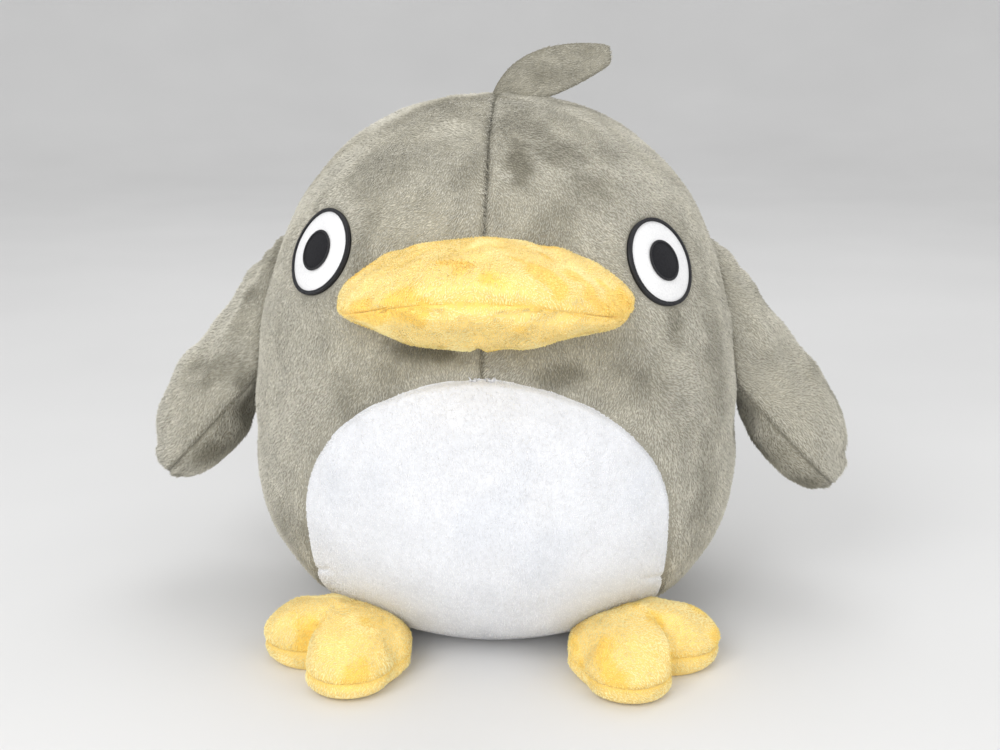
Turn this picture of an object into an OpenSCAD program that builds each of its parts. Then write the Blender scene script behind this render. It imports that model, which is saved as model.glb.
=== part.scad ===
// Plush penguin: a stuffed, round-bodied penguin sewn from pile fabric.
// The toy faces -Y and stands on Z = 0. Left and right are the toy's own: left is +X.
// Every soft part is a cover of sewn panels around a filling of loose fibre.

/* [Cloth] */
// Thickness of the grey pile fabric, with its pile lying down
body_cloth = 3; // [2:0.5:5]
// Thickness of the yellow and flipper fabric, with its pile lying down
limb_cloth = 2.5; // [1.5:0.5:4]
// Space left between two parts that move against each other
moving_gap = 1.2; // [0.5:0.1:3]
// Space left between a sewn-on part and the cover under it
seat_gap = 0.35; // [0.2:0.05:1]

/* [Body] */
// Height from the surface it stands on to the crown
body_h = 275; // [225:1:340]
// Largest radius of the body
body_r = 130; // [105:1:160]
// Height at which the body is widest
wide_z = 95; // [78:1:115]
// How far the lower half would reach down if it weren't flattened by the surface
low_reach = 106; // [100:1:140]
// Height of the seam around the base panel
base_seam_z = 9; // [6:1:14]

/* [Belly patch] */
// Half of the white patch's width
patch_half_w = 91; // [70:1:98]
// Height of the patch's widest line
patch_z = 80; // [66:1:95]
// Height of the patch's upper edge
patch_top_z = 156; // [135:1:165]

/* [Eyes] */
// Radius of an eye to the outside of its black rim
eye_r = 22.5; // [16:0.5:25]
// Width of the black stitched rim
eye_rim = 2.4; // [1.5:0.1:4]
// Radius of the pupil
pupil_r = 10.8; // [8:0.2:14]
// Width of the stitched edge of the pupil
pupil_rim = 1.5; // [1:0.1:2.5]
// Thickness of one layer of eye cloth or thread
eye_layer = 0.7; // [0.5:0.1:1.2]
// Height of the eyes' centres
eye_z = 203; // [196:1:214]
// How much lower the left eye is sewn than the right one
eye_uneven = 3; // [0:0.5:5]
// Angle of each eye from the front
eye_turn = 48; // [46:1:55]

/* [Beak] */
// Half of the beak's width
beak_half_w = 70; // [50:1:72]
// How far the beak stands out from the face
beak_out = 58; // [40:1:75]
// Height of the upper beak above its side seam
beak_up = 34; // [22:1:38]
// Depth of the lower beak below its side seam
beak_down = 18; // [14:1:27]
// Height of the side seam where the beak meets the face
beak_z = 185; // [182:1:192]
// Upward tilt of the beak
beak_tilt = 12; // [0:1:16]

/* [Flippers] */
// Height of the lower end of the shoulder seam
shoulder_low_z = 127; // [112:1:135]
// Length of a flipper from the lower end of its shoulder seam to its tip
flipper_len = 85; // [65:1:105]
// Half of a flipper's width from front to back
flipper_half_w = 29; // [22:1:34]
// Height of the outer panel's arch over the flipper's side seam
flipper_out = 41; // [32:1:46]
// Depth of the inner panel's arch under the flipper's side seam
flipper_in = 17; // [10:1:20]
// Angle of a flipper's side seam from straight down
flipper_hang = 43; // [38:1:52]

/* [Feet] */
// Length of a foot from its root to its toes
foot_len = 63; // [56:1:82]
// Radius of a toe
toe_r = 20.5; // [17:0.5:24]
// Half of the distance between the two toes' centres
toe_apart = 21.5; // [18:0.5:26]
// Height of a foot above the surface
foot_h = 31; // [24:1:36]
// Angle of a foot's root from the front, around the body
foot_round = 32; // [28:1:40]
// Angle that the toes point out from the front
foot_splay = 53; // [40:1:60]

/* [Tuft] */
// Length of the tuft's seam along the crown
tuft_root = 28; // [20:1:34]
// How far the tuft's tip leans to the left
tuft_lean = 60; // [45:1:75]
// How far the tuft's tip stands above the crown
tuft_rise = 19; // [12:1:28]
// Half of the tuft's thickness, with its wadding
tuft_half_t = 4.2; // [3.5:0.1:6]
// Thickness of the tuft's cloth
tuft_cloth = 1.5; // [1:0.1:1.8]

/* [Label and closing seam] */
// Width of the blank care label
label_w = 18; // [12:1:25]
// Length that the label stands out of the seam
label_len = 24; // [18:1:36]
// Number of hand stitches that close the back seam
stitch_count = 10; // [6:1:14]
// Length of one hand stitch
stitch_len = 5; // [3:0.5:7]

/* [Hidden] */

grey = [0.60, 0.58, 0.53];
white = [0.95, 0.95, 0.94];
yellow = [0.98, 0.86, 0.48];
black = [0.06, 0.06, 0.07];
fibre = [0.97, 0.97, 0.95];

round_fn = 96;      // facets of a turned shape when it is drawn
up_power = 2.32;    // fullness of the body above its widest line
low_power = 2.4;    // fullness of the body below its widest line
patch_power = [1.9, 4]; // fullness of the belly patch's outline above and below its widest line
patch_low = 92;     // how far the patch's outline reaches below its widest line
profile_steps = 20; // profile points in each half of the body

// ---- The body's outline -------------------------------------------------

// Radius at height z of the body's surface, or of one that lies inset inside it.
function outline_r(z, inset = 0) = let (
    r = body_r - inset,
    up = body_h - wide_z - inset,
    t = z > wide_z ? (z - wide_z) / up : (wide_z - z) / (low_reach - inset),
    power = z > wide_z ? up_power : low_power
) r * pow(max(0, 1 - pow(min(1, t), power)), 1 / power);

// Height at which the upper surface has radius r.
function outline_z(r, inset = 0) =
    wide_z + (body_h - wide_z - inset) * pow(max(0, 1 - pow(r / (body_r - inset), up_power)), 1 / up_power);

// The outline from height z0 up to the crown, as [radius, height] points.
function outline(z0, inset = 0) = concat(
    [for (i = [0:profile_steps]) let (z = z0 + (wide_z - z0) * sin(90 * i / profile_steps))
        [outline_r(z, inset), z]],
    [for (i = [1:profile_steps]) let (r = (body_r - inset) * cos(90 * i / profile_steps))
        [i == profile_steps ? 0 : r, outline_z(i == profile_steps ? 0 : r, inset)]]
);

function reversed(list) = [for (i = [len(list) - 1:-1:0]) list[i]];

// Upward lean of the body's surface at height z.
function outline_lean(z) = atan(-(outline_r(z + 1) - outline_r(z - 1)) / 2);

// A turned sector of cover between two insets, above height z0.
module cover(from, sweep, z0, outside = 0, inside = body_cloth) {
    rotate([0, 0, from])
        rotate_extrude(angle = sweep, $fn = round_fn)
            polygon(concat(outline(z0, outside), reversed(outline(z0, inside))));
}

module body_filling() {
    inset = body_cloth + seat_gap;
    color(fibre)
        rotate_extrude($fn = round_fn)
            polygon(concat([[0, inset]], outline(inset, inset)));
}

// ---- Cover panels -------------------------------------------------------

patch_steps = 48;

// A prism through the belly with the outline of the white patch.
module patch_prism() {
    function power(t) = 2 / patch_power[t < 180 ? 0 : 1];
    translate([0, -10, 0])
        rotate([90, 0, 0])
            linear_extrude(height = body_r + 20)
                polygon([for (i = [0:patch_steps - 1]) let (t = 360 * i / patch_steps)
                    [patch_half_w * sign(cos(t)) * pow(abs(cos(t)), power(t)),
                     patch_z + (t < 180 ? patch_top_z - patch_z : patch_low)
                        * sign(sin(t)) * pow(abs(sin(t)), power(t))]]);
}

module face_panel(side) {
    color(grey)
        difference() {
            cover(side > 0 ? -90 : 180, 90, base_seam_z);
            patch_prism();
        }
}

module back_panel(side) {
    color(grey) cover(side > 0 ? 0 : 90, 90, base_seam_z);
}

module belly_patch() {
    color(white)
        intersection() {
            cover(180, 180, base_seam_z);
            patch_prism();
        }
}

// The base is a shallow dish: a flat disc with a rim that turns up to the seam.
module base_panel() {
    rim_steps = 6;
    function rim(inset) = [for (i = [0:rim_steps]) let (z = inset + (base_seam_z - inset) * i / rim_steps)
        [outline_r(z, inset), z]];
    color(white)
        rotate_extrude($fn = round_fn)
            polygon(concat([[0, 0]], rim(0), reversed(rim(body_cloth)), [[0, body_cloth]]));
}

// ---- Eyes ---------------------------------------------------------------

// One layer of an eye: the part of a thin cover inside a ring set square to the face.
module eye_layer_ring(side, r_out, r_in, low, high) {
    reach = 30;
    z = eye_z - side * eye_uneven / 2;
    intersection() {
        cover(side > 0 ? -90 : 180, 90, wide_z, -high, -low);
        rotate([0, 0, side * eye_turn])
            translate([0, -outline_r(z), z])
                rotate([90 - outline_lean(z), 0, 0])
                    difference() {
                        cylinder(r = r_out, h = reach, center = true, $fn = round_fn);
                        if (r_in > 0) cylinder(r = r_in, h = reach + 2, center = true, $fn = round_fn);
                    }
    }
}

module eye_white(side) {
    color(white) eye_layer_ring(side, eye_r - eye_rim, 0, 0, eye_layer);
}

module eye_rim_stitches(side) {
    color(black) eye_layer_ring(side, eye_r, eye_r - eye_rim, 0, 2 * eye_layer);
}

module pupil(side) {
    color(black) eye_layer_ring(side, pupil_r - pupil_rim, 0, eye_layer, 2 * eye_layer);
}

module pupil_edge(side) {
    color(black) eye_layer_ring(side, pupil_r, pupil_r - pupil_rim, eye_layer, 2.6 * eye_layer);
}

// ---- Lofted soft shapes -------------------------------------------------

// A closed solid between two grids of points of the same size, joined around their edges.
module plate(outer, inner) {
    rows = len(outer);
    cols = len(outer[0]);
    count = rows * cols;
    function at(i, j) = i * cols + j;
    function flat(grid) = [for (row = grid) for (p = row) p];
    skin = [for (i = [0:rows - 2]) for (j = [0:cols - 2]) each [
        [at(i, j), at(i + 1, j), at(i + 1, j + 1)],
        [at(i, j), at(i + 1, j + 1), at(i, j + 1)]]];
    lining = [for (f = skin) [f[2] + count, f[1] + count, f[0] + count]];
    edge = concat(
        [for (j = [0:cols - 2]) [at(0, j), at(0, j + 1)]],
        [for (i = [0:rows - 2]) [at(i, cols - 1), at(i + 1, cols - 1)]],
        [for (j = [cols - 1:-1:1]) [at(rows - 1, j), at(rows - 1, j - 1)]],
        [for (i = [rows - 1:-1:1]) [at(i, 0), at(i - 1, 0)]]);
    rims = [for (e = edge) each [
        [e[0], e[1], e[1] + count],
        [e[0], e[1] + count, e[0] + count]]];
    polyhedron(points = concat(flat(outer), flat(inner)), faces = concat(skin, lining, rims));
}

// A closed solid through rings of points, ending in a point at each end.
module pod(first, rings, last) {
    rows = len(rings);
    cols = len(rings[0]);
    tip = rows * cols + 1;
    function at(i, j) = 1 + i * cols + j % cols;
    ends = [for (j = [0:cols - 1]) each [
        [0, at(0, j), at(0, j + 1)],
        [tip, at(rows - 1, j + 1), at(rows - 1, j)]]];
    sides = [for (i = [0:rows - 2]) for (j = [0:cols - 1]) each [
        [at(i, j), at(i + 1, j), at(i + 1, j + 1)],
        [at(i, j), at(i + 1, j + 1), at(i, j + 1)]]];
    polyhedron(points = concat([first], [for (r = rings) each r], [last]), faces = concat(ends, sides));
}

// ---- Beak ---------------------------------------------------------------

beak_steps = 8;      // rings from the face to the beak's tip
beak_sides = 28;     // points around the beak
beak_end_share = 0.97; // the last ring's share of the way to the tip

beak_power = 1.6;      // fullness of the beak's outline seen from the front: under 2 is pointed at the sides
beak_eye_room = 12;    // least distance sideways from the beak's corner to an eye's centre
beak_w = min(beak_half_w, outline_r(eye_z) * sin(eye_turn) - beak_eye_room); // the half width that the eyes leave

// Depth of the face's surface, seen from the front, at side x and height z.
function face_y(x, z) = -sqrt(max(1, pow(outline_r(z), 2) - x * x));

// The beak's outline on the face, as [x, rise] for a way a around it.
function beak_outline(a, inset) = let (
    tall = (sin(a) > 0 ? beak_up : beak_down) - inset
) [(beak_w - inset) * sign(cos(a)) * pow(abs(cos(a)), 2 / beak_power),
   tall * sign(sin(a)) * pow(abs(sin(a)), 2 / beak_power)];

// A point of the beak: a round way around it, s from 0 at the face to 1 at the tip.
function beak_point(a, s, inset) = let (
    o = beak_outline(a, inset),
    close = pow(cos(90 * s), 0.9),
    x = o[0] * close,
    rise = o[1] * close,
    foot_y = face_y(o[0], beak_z + o[1]) - seat_gap * (inset > 0 ? 2 : 1),
    tip_y = face_y(0, beak_z) - beak_out + inset,
    y = foot_y + (tip_y - foot_y) * sin(90 * s),
    lift = (face_y(0, beak_z) - y) * tan(beak_tilt)
) [x, y, beak_z + rise + max(0, lift) * sin(90 * s)];

function beak_rings(from, to, steps, inset) =
    [for (i = [0:beak_steps]) [for (j = [0:steps])
        beak_point(from + (to - from) * j / steps, beak_end_share * i / beak_steps, inset)]];

module beak_panel(from, to) {
    half = beak_sides / 2;
    color(yellow) plate(beak_rings(from, to, half, 0), beak_rings(from, to, half, limb_cloth));
}

// The filling has a back that lies along the face.
module beak_filling() {
    back_steps = 6;
    back_gap = 2 * seat_gap;
    function back_ring(share) = [for (j = [0:beak_sides - 1]) let (
        o = beak_outline(360 * j / beak_sides, limb_cloth) * share
    ) [o[0], face_y(o[0], beak_z + o[1]) - back_gap, beak_z + o[1]]];
    rings = concat(
        [for (k = [1:back_steps - 1]) back_ring(k / back_steps)],
        [for (i = [0:beak_steps]) [for (j = [0:beak_sides - 1])
            beak_point(360 * j / beak_sides, beak_end_share * i / beak_steps, limb_cloth)]]);
    color(fibre)
        pod([0, face_y(0, beak_z) - back_gap, beak_z], rings, beak_point(0, 1, limb_cloth));
}

// ---- Flippers -----------------------------------------------------------

flipper_steps = 12;
flipper_sides = 32;
flipper_end = 0.985;      // the last ring's share of the way to the tip
out_peak = 0.235;         // share of the way at which the outer panel stands highest
half_w_peak = 0.35;       // share of the way at which a flipper is widest
arch_power = 2.2;         // fullness of a flipper's outline
shoulder_low = [outline_r(shoulder_low_z) + moving_gap, shoulder_low_z];

// A smooth hump: 1 at the peak, 0 at the end, and falling gently towards the start.
function hump(f, peak, start_reach) =
    sqrt(max(0, 1 - pow(abs(f - peak) / (f > peak ? 1 - peak : start_reach), arch_power)));

// Side of the body, moved out by the moving gap, at depth y and height z.
function flank_x(y, z) = sqrt(pow(outline_r(z) + moving_gap, 2) - y * y);

// In a flipper's frame, the height at which a line along the flipper meets the body.
function root_z(x, y, z = 0, turns = 14) = turns == 0 ? z :
    root_z(x, y, (x * cos(flipper_hang) + shoulder_low[0]
        - flank_x(y, shoulder_low[1] + x * sin(flipper_hang) + z * cos(flipper_hang))) / sin(flipper_hang),
        turns - 1);

fibre_gap = 2 * seat_gap; // how much further from the body a flipper's filling ends than its cover
fibre_start = 0.08;       // share of the way from the root to the next ring at which the filling starts

// How far the flipper's surface stands from its side seam, at share f of the way and way a around it.
function flipper_reach(a, f, inset) = [
    ((cos(a) > 0 ? flipper_out * hump(f, out_peak, 0.51) : flipper_in * pow(sin(180 * f), 0.6)) - inset)
        * cos(a),
    (flipper_half_w * hump(f, half_w_peak, 0.8) - inset) * sin(a)];

// A point of a flipper in its own frame: X across its side seam, Y back, Z up along its side seam.
function flipper_point(a, f, inset) = let (
    at_root = flipper_reach(a, 0, inset),
    here = flipper_reach(a, f, inset)
) [here[0], here[1], root_z(at_root[0], at_root[1]) * (1 - f) - (flipper_len - inset) * f];

function flipper_rings(from, to, steps, inset, closed) =
    [for (i = [0:flipper_steps]) [for (j = [0:steps - (closed ? 1 : 0)])
        flipper_point(from + (to - from) * j / steps, flipper_end * sin(90 * i / flipper_steps), inset)]];

module place_flipper(side) {
    mirror([side > 0 ? 0 : 1, 0, 0])
        translate([shoulder_low[0], 0, shoulder_low[1]])
            rotate([0, -flipper_hang, 0])
                children();
}

module flipper_panel(side, from, to) {
    half = flipper_sides / 2;
    color(grey) place_flipper(side)
        plate(flipper_rings(from, to, half, 0, false), flipper_rings(from, to, half, limb_cloth, false));
}

// The filling has an end that lies along the body.
module flipper_filling(side) {
    end_steps = 5;
    middle = flipper_reach(0, 0, limb_cloth) / 2;
    function end_point(a, share) = let (
        at = middle + (flipper_reach(a, 0, limb_cloth) - middle) * share
    ) [at[0], at[1], root_z(at[0], at[1]) - fibre_gap];
    around = flipper_rings(0, 360, flipper_sides, limb_cloth, true);
    rings = concat(
        [for (k = [1:end_steps - 1]) [for (j = [0:flipper_sides - 1])
            end_point(360 * j / flipper_sides, k / end_steps)]],
        [(1 - fibre_start) * around[0] + fibre_start * around[1]],
        [for (i = [1:flipper_steps]) around[i]]);
    color(fibre) place_flipper(side)
        pod(end_point(0, 0), rings, [0, 0, -flipper_len + limb_cloth]);
}

// ---- Feet ---------------------------------------------------------------

foot_steps = 5;
foot_sides = 40;
foot_mid = foot_len - toe_r - 8;     // distance from the root to the middle of the outline
heel_w = 34;                         // half of the oval heel's width
heel_len = max(26, 0.55 * foot_mid); // half of the oval heel's length
sole_flat = 0.8;                     // share of the sole that lies flat
edge_share = 0.34;                   // height of a foot's edge seam, as a share of its height
foot_seam_z = foot_h * edge_share;
root_r = outline_r(foot_seam_z) + moving_gap + 0.8; // distance of a foot's root from the body's axis
blend_power = 9;                     // how sharply the heel and toes meet in the outline
tuck_gap = 2.5;                      // space between the top of a foot and the body over it

// Height of the body's underside at distance r from its axis.
function under_z(r) = r >= body_r - 1 ? body_h :
    wide_z - low_reach * pow(1 - pow(r / body_r, low_power), 1 / low_power);

// Distance from the outline's middle to a circle, along the direction a.
function ray(a, c, r) = let (
    along = c[0] * cos(a) + c[1] * sin(a),
    off = c[0] * c[0] + c[1] * c[1] - along * along
) off < r * r ? max(0.1, along + sqrt(r * r - off)) : 0.1;

// Distance from the outline's middle to the edge of the oval heel, along the direction a.
function heel_ray(a) = let (
    c = heel_len - foot_mid,
    square = pow(cos(a) / heel_w, 2) + pow(sin(a) / heel_len, 2),
    cross = c * sin(a) / pow(heel_len, 2)
) (cross + sqrt(cross * cross - square * (pow(c / heel_len, 2) - 1))) / square;

// Distance from the middle to the foot's edge: a heel and two toes run together.
function foot_reach(a) = let (
    toe_y = foot_len - toe_r - foot_mid,
    reaches = [ray(a, [toe_apart, toe_y], toe_r), ray(a, [-toe_apart, toe_y], toe_r), heel_ray(a)]
) pow(pow(reaches[0], blend_power) + pow(reaches[1], blend_power) + pow(reaches[2], blend_power),
      1 / blend_power);

// Distance from the body's axis to a point of a foot's own frame.
function foot_from_axis(x, y) = let (
    turn = foot_splay - foot_round,
    out = root_r + y * cos(turn) + x * sin(turn),
    across = y * sin(turn) - x * cos(turn)
) sqrt(out * out + across * across);

// A point of a foot in its own frame: Y from the root to the toes, Z up. up is 1 for the top, -1 for the sole.
function foot_point(a, s, up, inset) = let (
    reach = (foot_reach(a) - inset) * s,
    x = reach * cos(a),
    y = foot_mid + reach * sin(a),
    seam = foot_seam_z,
    dome = (foot_h - seam - inset) * pow(max(0, 1 - pow(s, 2.6)), 0.55),
    room = max(inset > 0 ? 0.5 : 0.8, under_z(foot_from_axis(x, y)) - tuck_gap - inset - seam),
    dish = (seam - inset) * pow(max(0, 1 - pow(max(0, s - sole_flat) / (1 - sole_flat), 2)), 0.5)
) [x, y, seam + (up > 0 ? (s == 1 ? 0 : min(dome, room)) : -dish)];

function foot_shares(inner) = concat([for (i = [1:foot_steps - 1]) i / foot_steps], [0.93, inner]);

function foot_rings(up, inset, closed) =
    [for (s = [0.02, each foot_shares(1)]) [for (j = [0:foot_sides - (closed ? 1 : 0)])
        foot_point(360 * j / foot_sides, s, up, inset)]];

module place_foot(side) {
    mirror([side > 0 ? 0 : 1, 0, 0])
        rotate([0, 0, foot_round])
            translate([0, -root_r, 0])
                rotate([0, 0, foot_splay - foot_round + 180])
                    children();
}

module foot_cover(side, up) {
    outer = foot_rings(up, 0, false);
    inner = foot_rings(up, limb_cloth, false);
    color(yellow) place_foot(side)
        closed_plate(up > 0 ? outer : inner, up > 0 ? inner : outer);
}

// A dome-shaped plate: two grids whose first rows close at a centre and whose ends meet.
module closed_plate(upper, lower) {
    rows = len(upper);
    cols = len(upper[0]) - 1;
    count = rows * cols + 1;
    function at(i, j) = 1 + i * cols + j % cols;
    function middle(grid) = [for (k = [0:2]) (grid[0][0][k] + grid[0][floor(cols / 2)][k]) / 2];
    function points_of(grid) = concat([middle(grid)],
        [for (row = grid) for (j = [0:cols - 1]) row[j]]);
    top = concat(
        [for (j = [0:cols - 1]) [0, at(0, j + 1), at(0, j)]],
        [for (i = [0:rows - 2]) for (j = [0:cols - 1]) each [
            [at(i, j), at(i, j + 1), at(i + 1, j + 1)],
            [at(i, j), at(i + 1, j + 1), at(i + 1, j)]]]);
    under = [for (f = top) [f[2] + count, f[1] + count, f[0] + count]];
    rims = [for (j = [0:cols - 1]) each [
        [at(rows - 1, j), at(rows - 1, j + 1), at(rows - 1, j + 1) + count],
        [at(rows - 1, j), at(rows - 1, j + 1) + count, at(rows - 1, j) + count]]];
    polyhedron(points = concat(points_of(upper), points_of(lower)), faces = concat(top, under, rims));
}

module foot_filling(side) {
    tops = foot_rings(1, limb_cloth, true);
    soles = foot_rings(-1, limb_cloth, true);
    rows = len(tops);
    rings = concat(tops, [for (i = [rows - 2:-1:0]) soles[i]]);
    function middle(ring) = (ring[0] + ring[foot_sides / 2]) / 2;
    color(fibre) place_foot(side) pod(middle(tops[0]), rings, middle(soles[0]));
}

// ---- Tuft ---------------------------------------------------------------

tuft_steps = 10;
tuft_sides = 16;
tuft_y = 5;                  // the tuft's seam runs just behind the crown
tuft_gap = 2.4;              // space between the crown and the tuft's lower edge
tuft_start_x = -4;           // side of the tuft's seam that lies over the centre of the crown
tuft_end_share = 0.97;       // the last ring's share of the way to the tip
root_t_share = 0.45;         // thickness at the seam, as a share of the full thickness

// A point at share u of a curve that leaves p towards q and ends at r.
function bend(p, q, r, u) = (1 - u) * (1 - u) * p + 2 * u * (1 - u) * q + u * u * r;

tuft_z = body_h + tuft_gap;
tuft_tip = [tuft_lean, 0, tuft_z + tuft_rise - 2];
tuft_back = [[tuft_start_x, 0, tuft_z], [tuft_start_x + 13, 0, tuft_z + tuft_rise + 9],
             tuft_tip + [0, 0, 4]];
tuft_belly = [[tuft_start_x + tuft_root, 0, tuft_z], [tuft_start_x + tuft_root + 15, 0, tuft_z + 1],
              tuft_tip - [0, 0, 3]];

// A point of the tuft's surface: a around it, u along it.
function tuft_point(a, u, inset) = let (
    upper = bend(tuft_back[0], tuft_back[1], tuft_back[2], u),
    lower = bend(tuft_belly[0], tuft_belly[1], tuft_belly[2], u),
    half = (upper - lower) / 2,
    wide = norm(half),
    thick = tuft_half_t * (root_t_share + (1 - root_t_share) * sin(180 * pow(u, 0.8)))
) (upper + lower) / 2 + half * (wide - inset) / wide * cos(a)
    + [0, tuft_y - (thick - inset) * sin(a), 0];

function tuft_rings(from, to, steps, inset, closed) =
    [for (i = [0:tuft_steps]) [for (j = [0:steps - (closed ? 1 : 0)])
        tuft_point(from + (to - from) * j / steps, tuft_end_share * i / tuft_steps, inset)]];

module tuft_panel(from, to) {
    half = tuft_sides / 2;
    color(grey) plate(tuft_rings(from, to, half, 0, false), tuft_rings(from, to, half, tuft_cloth, false));
}

module tuft_wadding() {
    rings = tuft_rings(0, 360, tuft_sides, tuft_cloth, true);
    function middle(ring) = (ring[0] + ring[tuft_sides / 2]) / 2;
    color(fibre) pod(middle(rings[0]) - [0, 0, 0.2], rings, middle(rings[tuft_steps]) + [0.5, 0, 0]);
}

// ---- Label and closing stitches -----------------------------------------

module care_label() {
    label_turn = 38;     // angle from the back towards the left side
    label_rise = 22;     // how far it points up from level
    label_t = 0.9;       // two layers of satin tape
    color(white)
        rotate([0, 0, -label_turn])
            translate([0, outline_r(base_seam_z + label_t) + 2 * seat_gap, base_seam_z])
                rotate([label_rise, 0, 0])
                    translate([-label_w / 2, 0, 0])
                        cube([label_w, label_len, label_t]);
}

module closing_stitches() {
    thread_r = 0.45;
    first_z = 42;
    pitch = 6;
    color(grey)
        for (i = [0:stitch_count - 1]) {
            z = first_z + pitch * i;
            translate([0, outline_r(z) + thread_r + seat_gap, z])
                rotate([0, 90 + (i % 2 == 0 ? 12 : -12), 0])
                    cylinder(r = thread_r, h = stitch_len, center = true, $fn = 24);
        }
}

// ---- Assembly -----------------------------------------------------------

body_filling();
face_panel(1);  // face_left_panel
face_panel(-1);  // face_right_panel
back_panel(1);  // back_left_panel
back_panel(-1);  // back_right_panel
belly_patch();
base_panel();
eye_white(1);  // left_eye_white
eye_rim_stitches(1);  // left_eye_rim
pupil(1);  // left_pupil
pupil_edge(1);  // left_pupil_edge
eye_white(-1);  // right_eye_white
eye_rim_stitches(-1);  // right_eye_rim
pupil(-1);  // right_pupil
pupil_edge(-1);  // right_pupil_edge
beak_panel(0, 180);  // beak_upper_panel
beak_panel(180, 360);  // beak_lower_panel
beak_filling();
flipper_panel(1, -90, 90);  // left_flipper_outer_panel
flipper_panel(1, 90, 270);  // left_flipper_inner_panel
flipper_filling(1);  // left_flipper_filling
flipper_panel(-1, -90, 90);  // right_flipper_outer_panel
flipper_panel(-1, 90, 270);  // right_flipper_inner_panel
flipper_filling(-1);  // right_flipper_filling
foot_cover(1, 1);  // left_foot_top_panel
foot_cover(1, -1);  // left_foot_sole
foot_filling(1);  // left_foot_filling
foot_cover(-1, 1);  // right_foot_top_panel
foot_cover(-1, -1);  // right_foot_sole
foot_filling(-1);  // right_foot_filling
tuft_panel(0, 180);  // tuft_front_panel
tuft_panel(180, 360);  // tuft_back_panel
tuft_wadding();
care_label();
closing_stitches();
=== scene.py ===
import math
import bpy
import numpy as np
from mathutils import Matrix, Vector
from mathutils.bvhtree import BVHTree
from mathutils.kdtree import KDTree


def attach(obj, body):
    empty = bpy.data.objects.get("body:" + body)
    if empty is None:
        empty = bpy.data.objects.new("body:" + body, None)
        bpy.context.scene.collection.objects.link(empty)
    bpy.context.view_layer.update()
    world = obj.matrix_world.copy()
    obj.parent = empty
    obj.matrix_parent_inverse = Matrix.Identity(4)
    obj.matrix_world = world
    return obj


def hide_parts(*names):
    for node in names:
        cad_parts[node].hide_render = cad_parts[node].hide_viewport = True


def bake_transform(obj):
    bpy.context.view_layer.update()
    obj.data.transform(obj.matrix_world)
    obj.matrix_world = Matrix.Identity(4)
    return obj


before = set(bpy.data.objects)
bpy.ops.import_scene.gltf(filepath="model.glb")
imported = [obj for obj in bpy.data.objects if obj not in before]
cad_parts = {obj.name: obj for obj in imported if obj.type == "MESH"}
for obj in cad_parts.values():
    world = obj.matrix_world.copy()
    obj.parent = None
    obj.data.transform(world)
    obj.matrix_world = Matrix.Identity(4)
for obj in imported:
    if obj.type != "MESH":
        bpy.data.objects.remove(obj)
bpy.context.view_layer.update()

scene = bpy.context.scene
scene.view_settings.view_transform = "Standard"
fullTurn = 2 * math.pi


# small helpers

def smooth(low, high, value):
    t = np.clip((value - low) / (high - low), 0, 1)
    return t * t * (3 - 2 * t)


def unit(v):
    return v / np.maximum(np.linalg.norm(v, axis=-1, keepdims=True), 1e-12)


def bell(value, width):
    return np.exp(-(value / width) ** 2)


ripples = dict(waves=8, slowest=0.6, spread=0.8, even=3.4)


def ripple(points, size, seed):  # soft lumps about size across, mostly between -1 and 1
    rng = np.random.default_rng(seed)
    total = np.zeros(len(points))
    for _ in range(ripples["waves"]):
        way = unit(rng.normal(size=3)) * (ripples["slowest"] + ripples["spread"] * rng.random())
        total += np.sin(points @ way * (fullTurn / size) + rng.random() * fullTurn)
    return total / ripples["even"]


def blotches(p, look, seeds):  # soft patches where the pile is brushed the other way
    lumps = ripple(p, look["size"], seeds[0]) + look["fineShare"] * ripple(p, look["fine"], seeds[1])
    return smooth(look["low"], look["high"], lumps) * look["strength"]


def everywhere(p, way):
    return np.tile(way, (len(p), 1))


def alongCloth(way, n):  # a direction laid flat on the cloth
    return unit(way - n * (way * n).sum(1, keepdims=True))


def swirl(way, p, n, amount, size, seed):  # turns the combing a little, in soft patches
    way = alongCloth(way, n)
    angle = (ripple(p, size, seed) * amount)[:, None]
    return way * np.cos(angle) + np.cross(n, way) * np.sin(angle)


def meshOf(name, verts, faces):
    mesh = bpy.data.meshes.new(name)
    mesh.from_pydata(np.asarray(verts, float).tolist(), [], [[int(i) for i in f] for f in faces])
    mesh.update()
    return mesh


def objectOf(name, mesh):
    ob = bpy.data.objects.new(name, mesh)
    scene.collection.objects.link(ob)
    return ob


def softObject(name, mesh, material):
    for f in mesh.polygons:
        f.use_smooth = True
    ob = objectOf(name, mesh)
    ob.data.materials.append(material)
    return ob


def drop(ob):
    mesh = ob.data
    bpy.data.objects.remove(ob)
    bpy.data.meshes.remove(mesh)


def vectorsOf(items, key):
    out = np.zeros(len(items) * 3, np.float32)
    items.foreach_get(key, out)
    return out.reshape(-1, 3).astype(float)


def coords(mesh):
    return vectorsOf(mesh.vertices, "co")


def normals(mesh):
    return vectorsOf(mesh.vertex_normals, "vector")


def setCoords(mesh, p):
    mesh.vertices.foreach_set("co", p.astype(np.float32).ravel())
    mesh.update()


def loopPoints(mesh):
    loops = np.zeros(len(mesh.loops), np.int32)
    mesh.loops.foreach_get("vertex_index", loops)
    return loops


def setUv(mesh, uv):
    layer = mesh.uv_layers.new(name="OFBake")
    layer.uv.foreach_set("vector", np.asarray(uv, np.float32)[loopPoints(mesh)].ravel())


def addAttribute(mesh, label, kind, values):
    data = mesh.attributes.new(label, kind, "POINT").data
    data.foreach_set("value" if kind == "FLOAT" else "vector", np.asarray(values, np.float32).ravel())


def evaluated(ob):
    return bpy.data.meshes.new_from_object(ob.evaluated_get(bpy.context.evaluated_depsgraph_get()))


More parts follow.
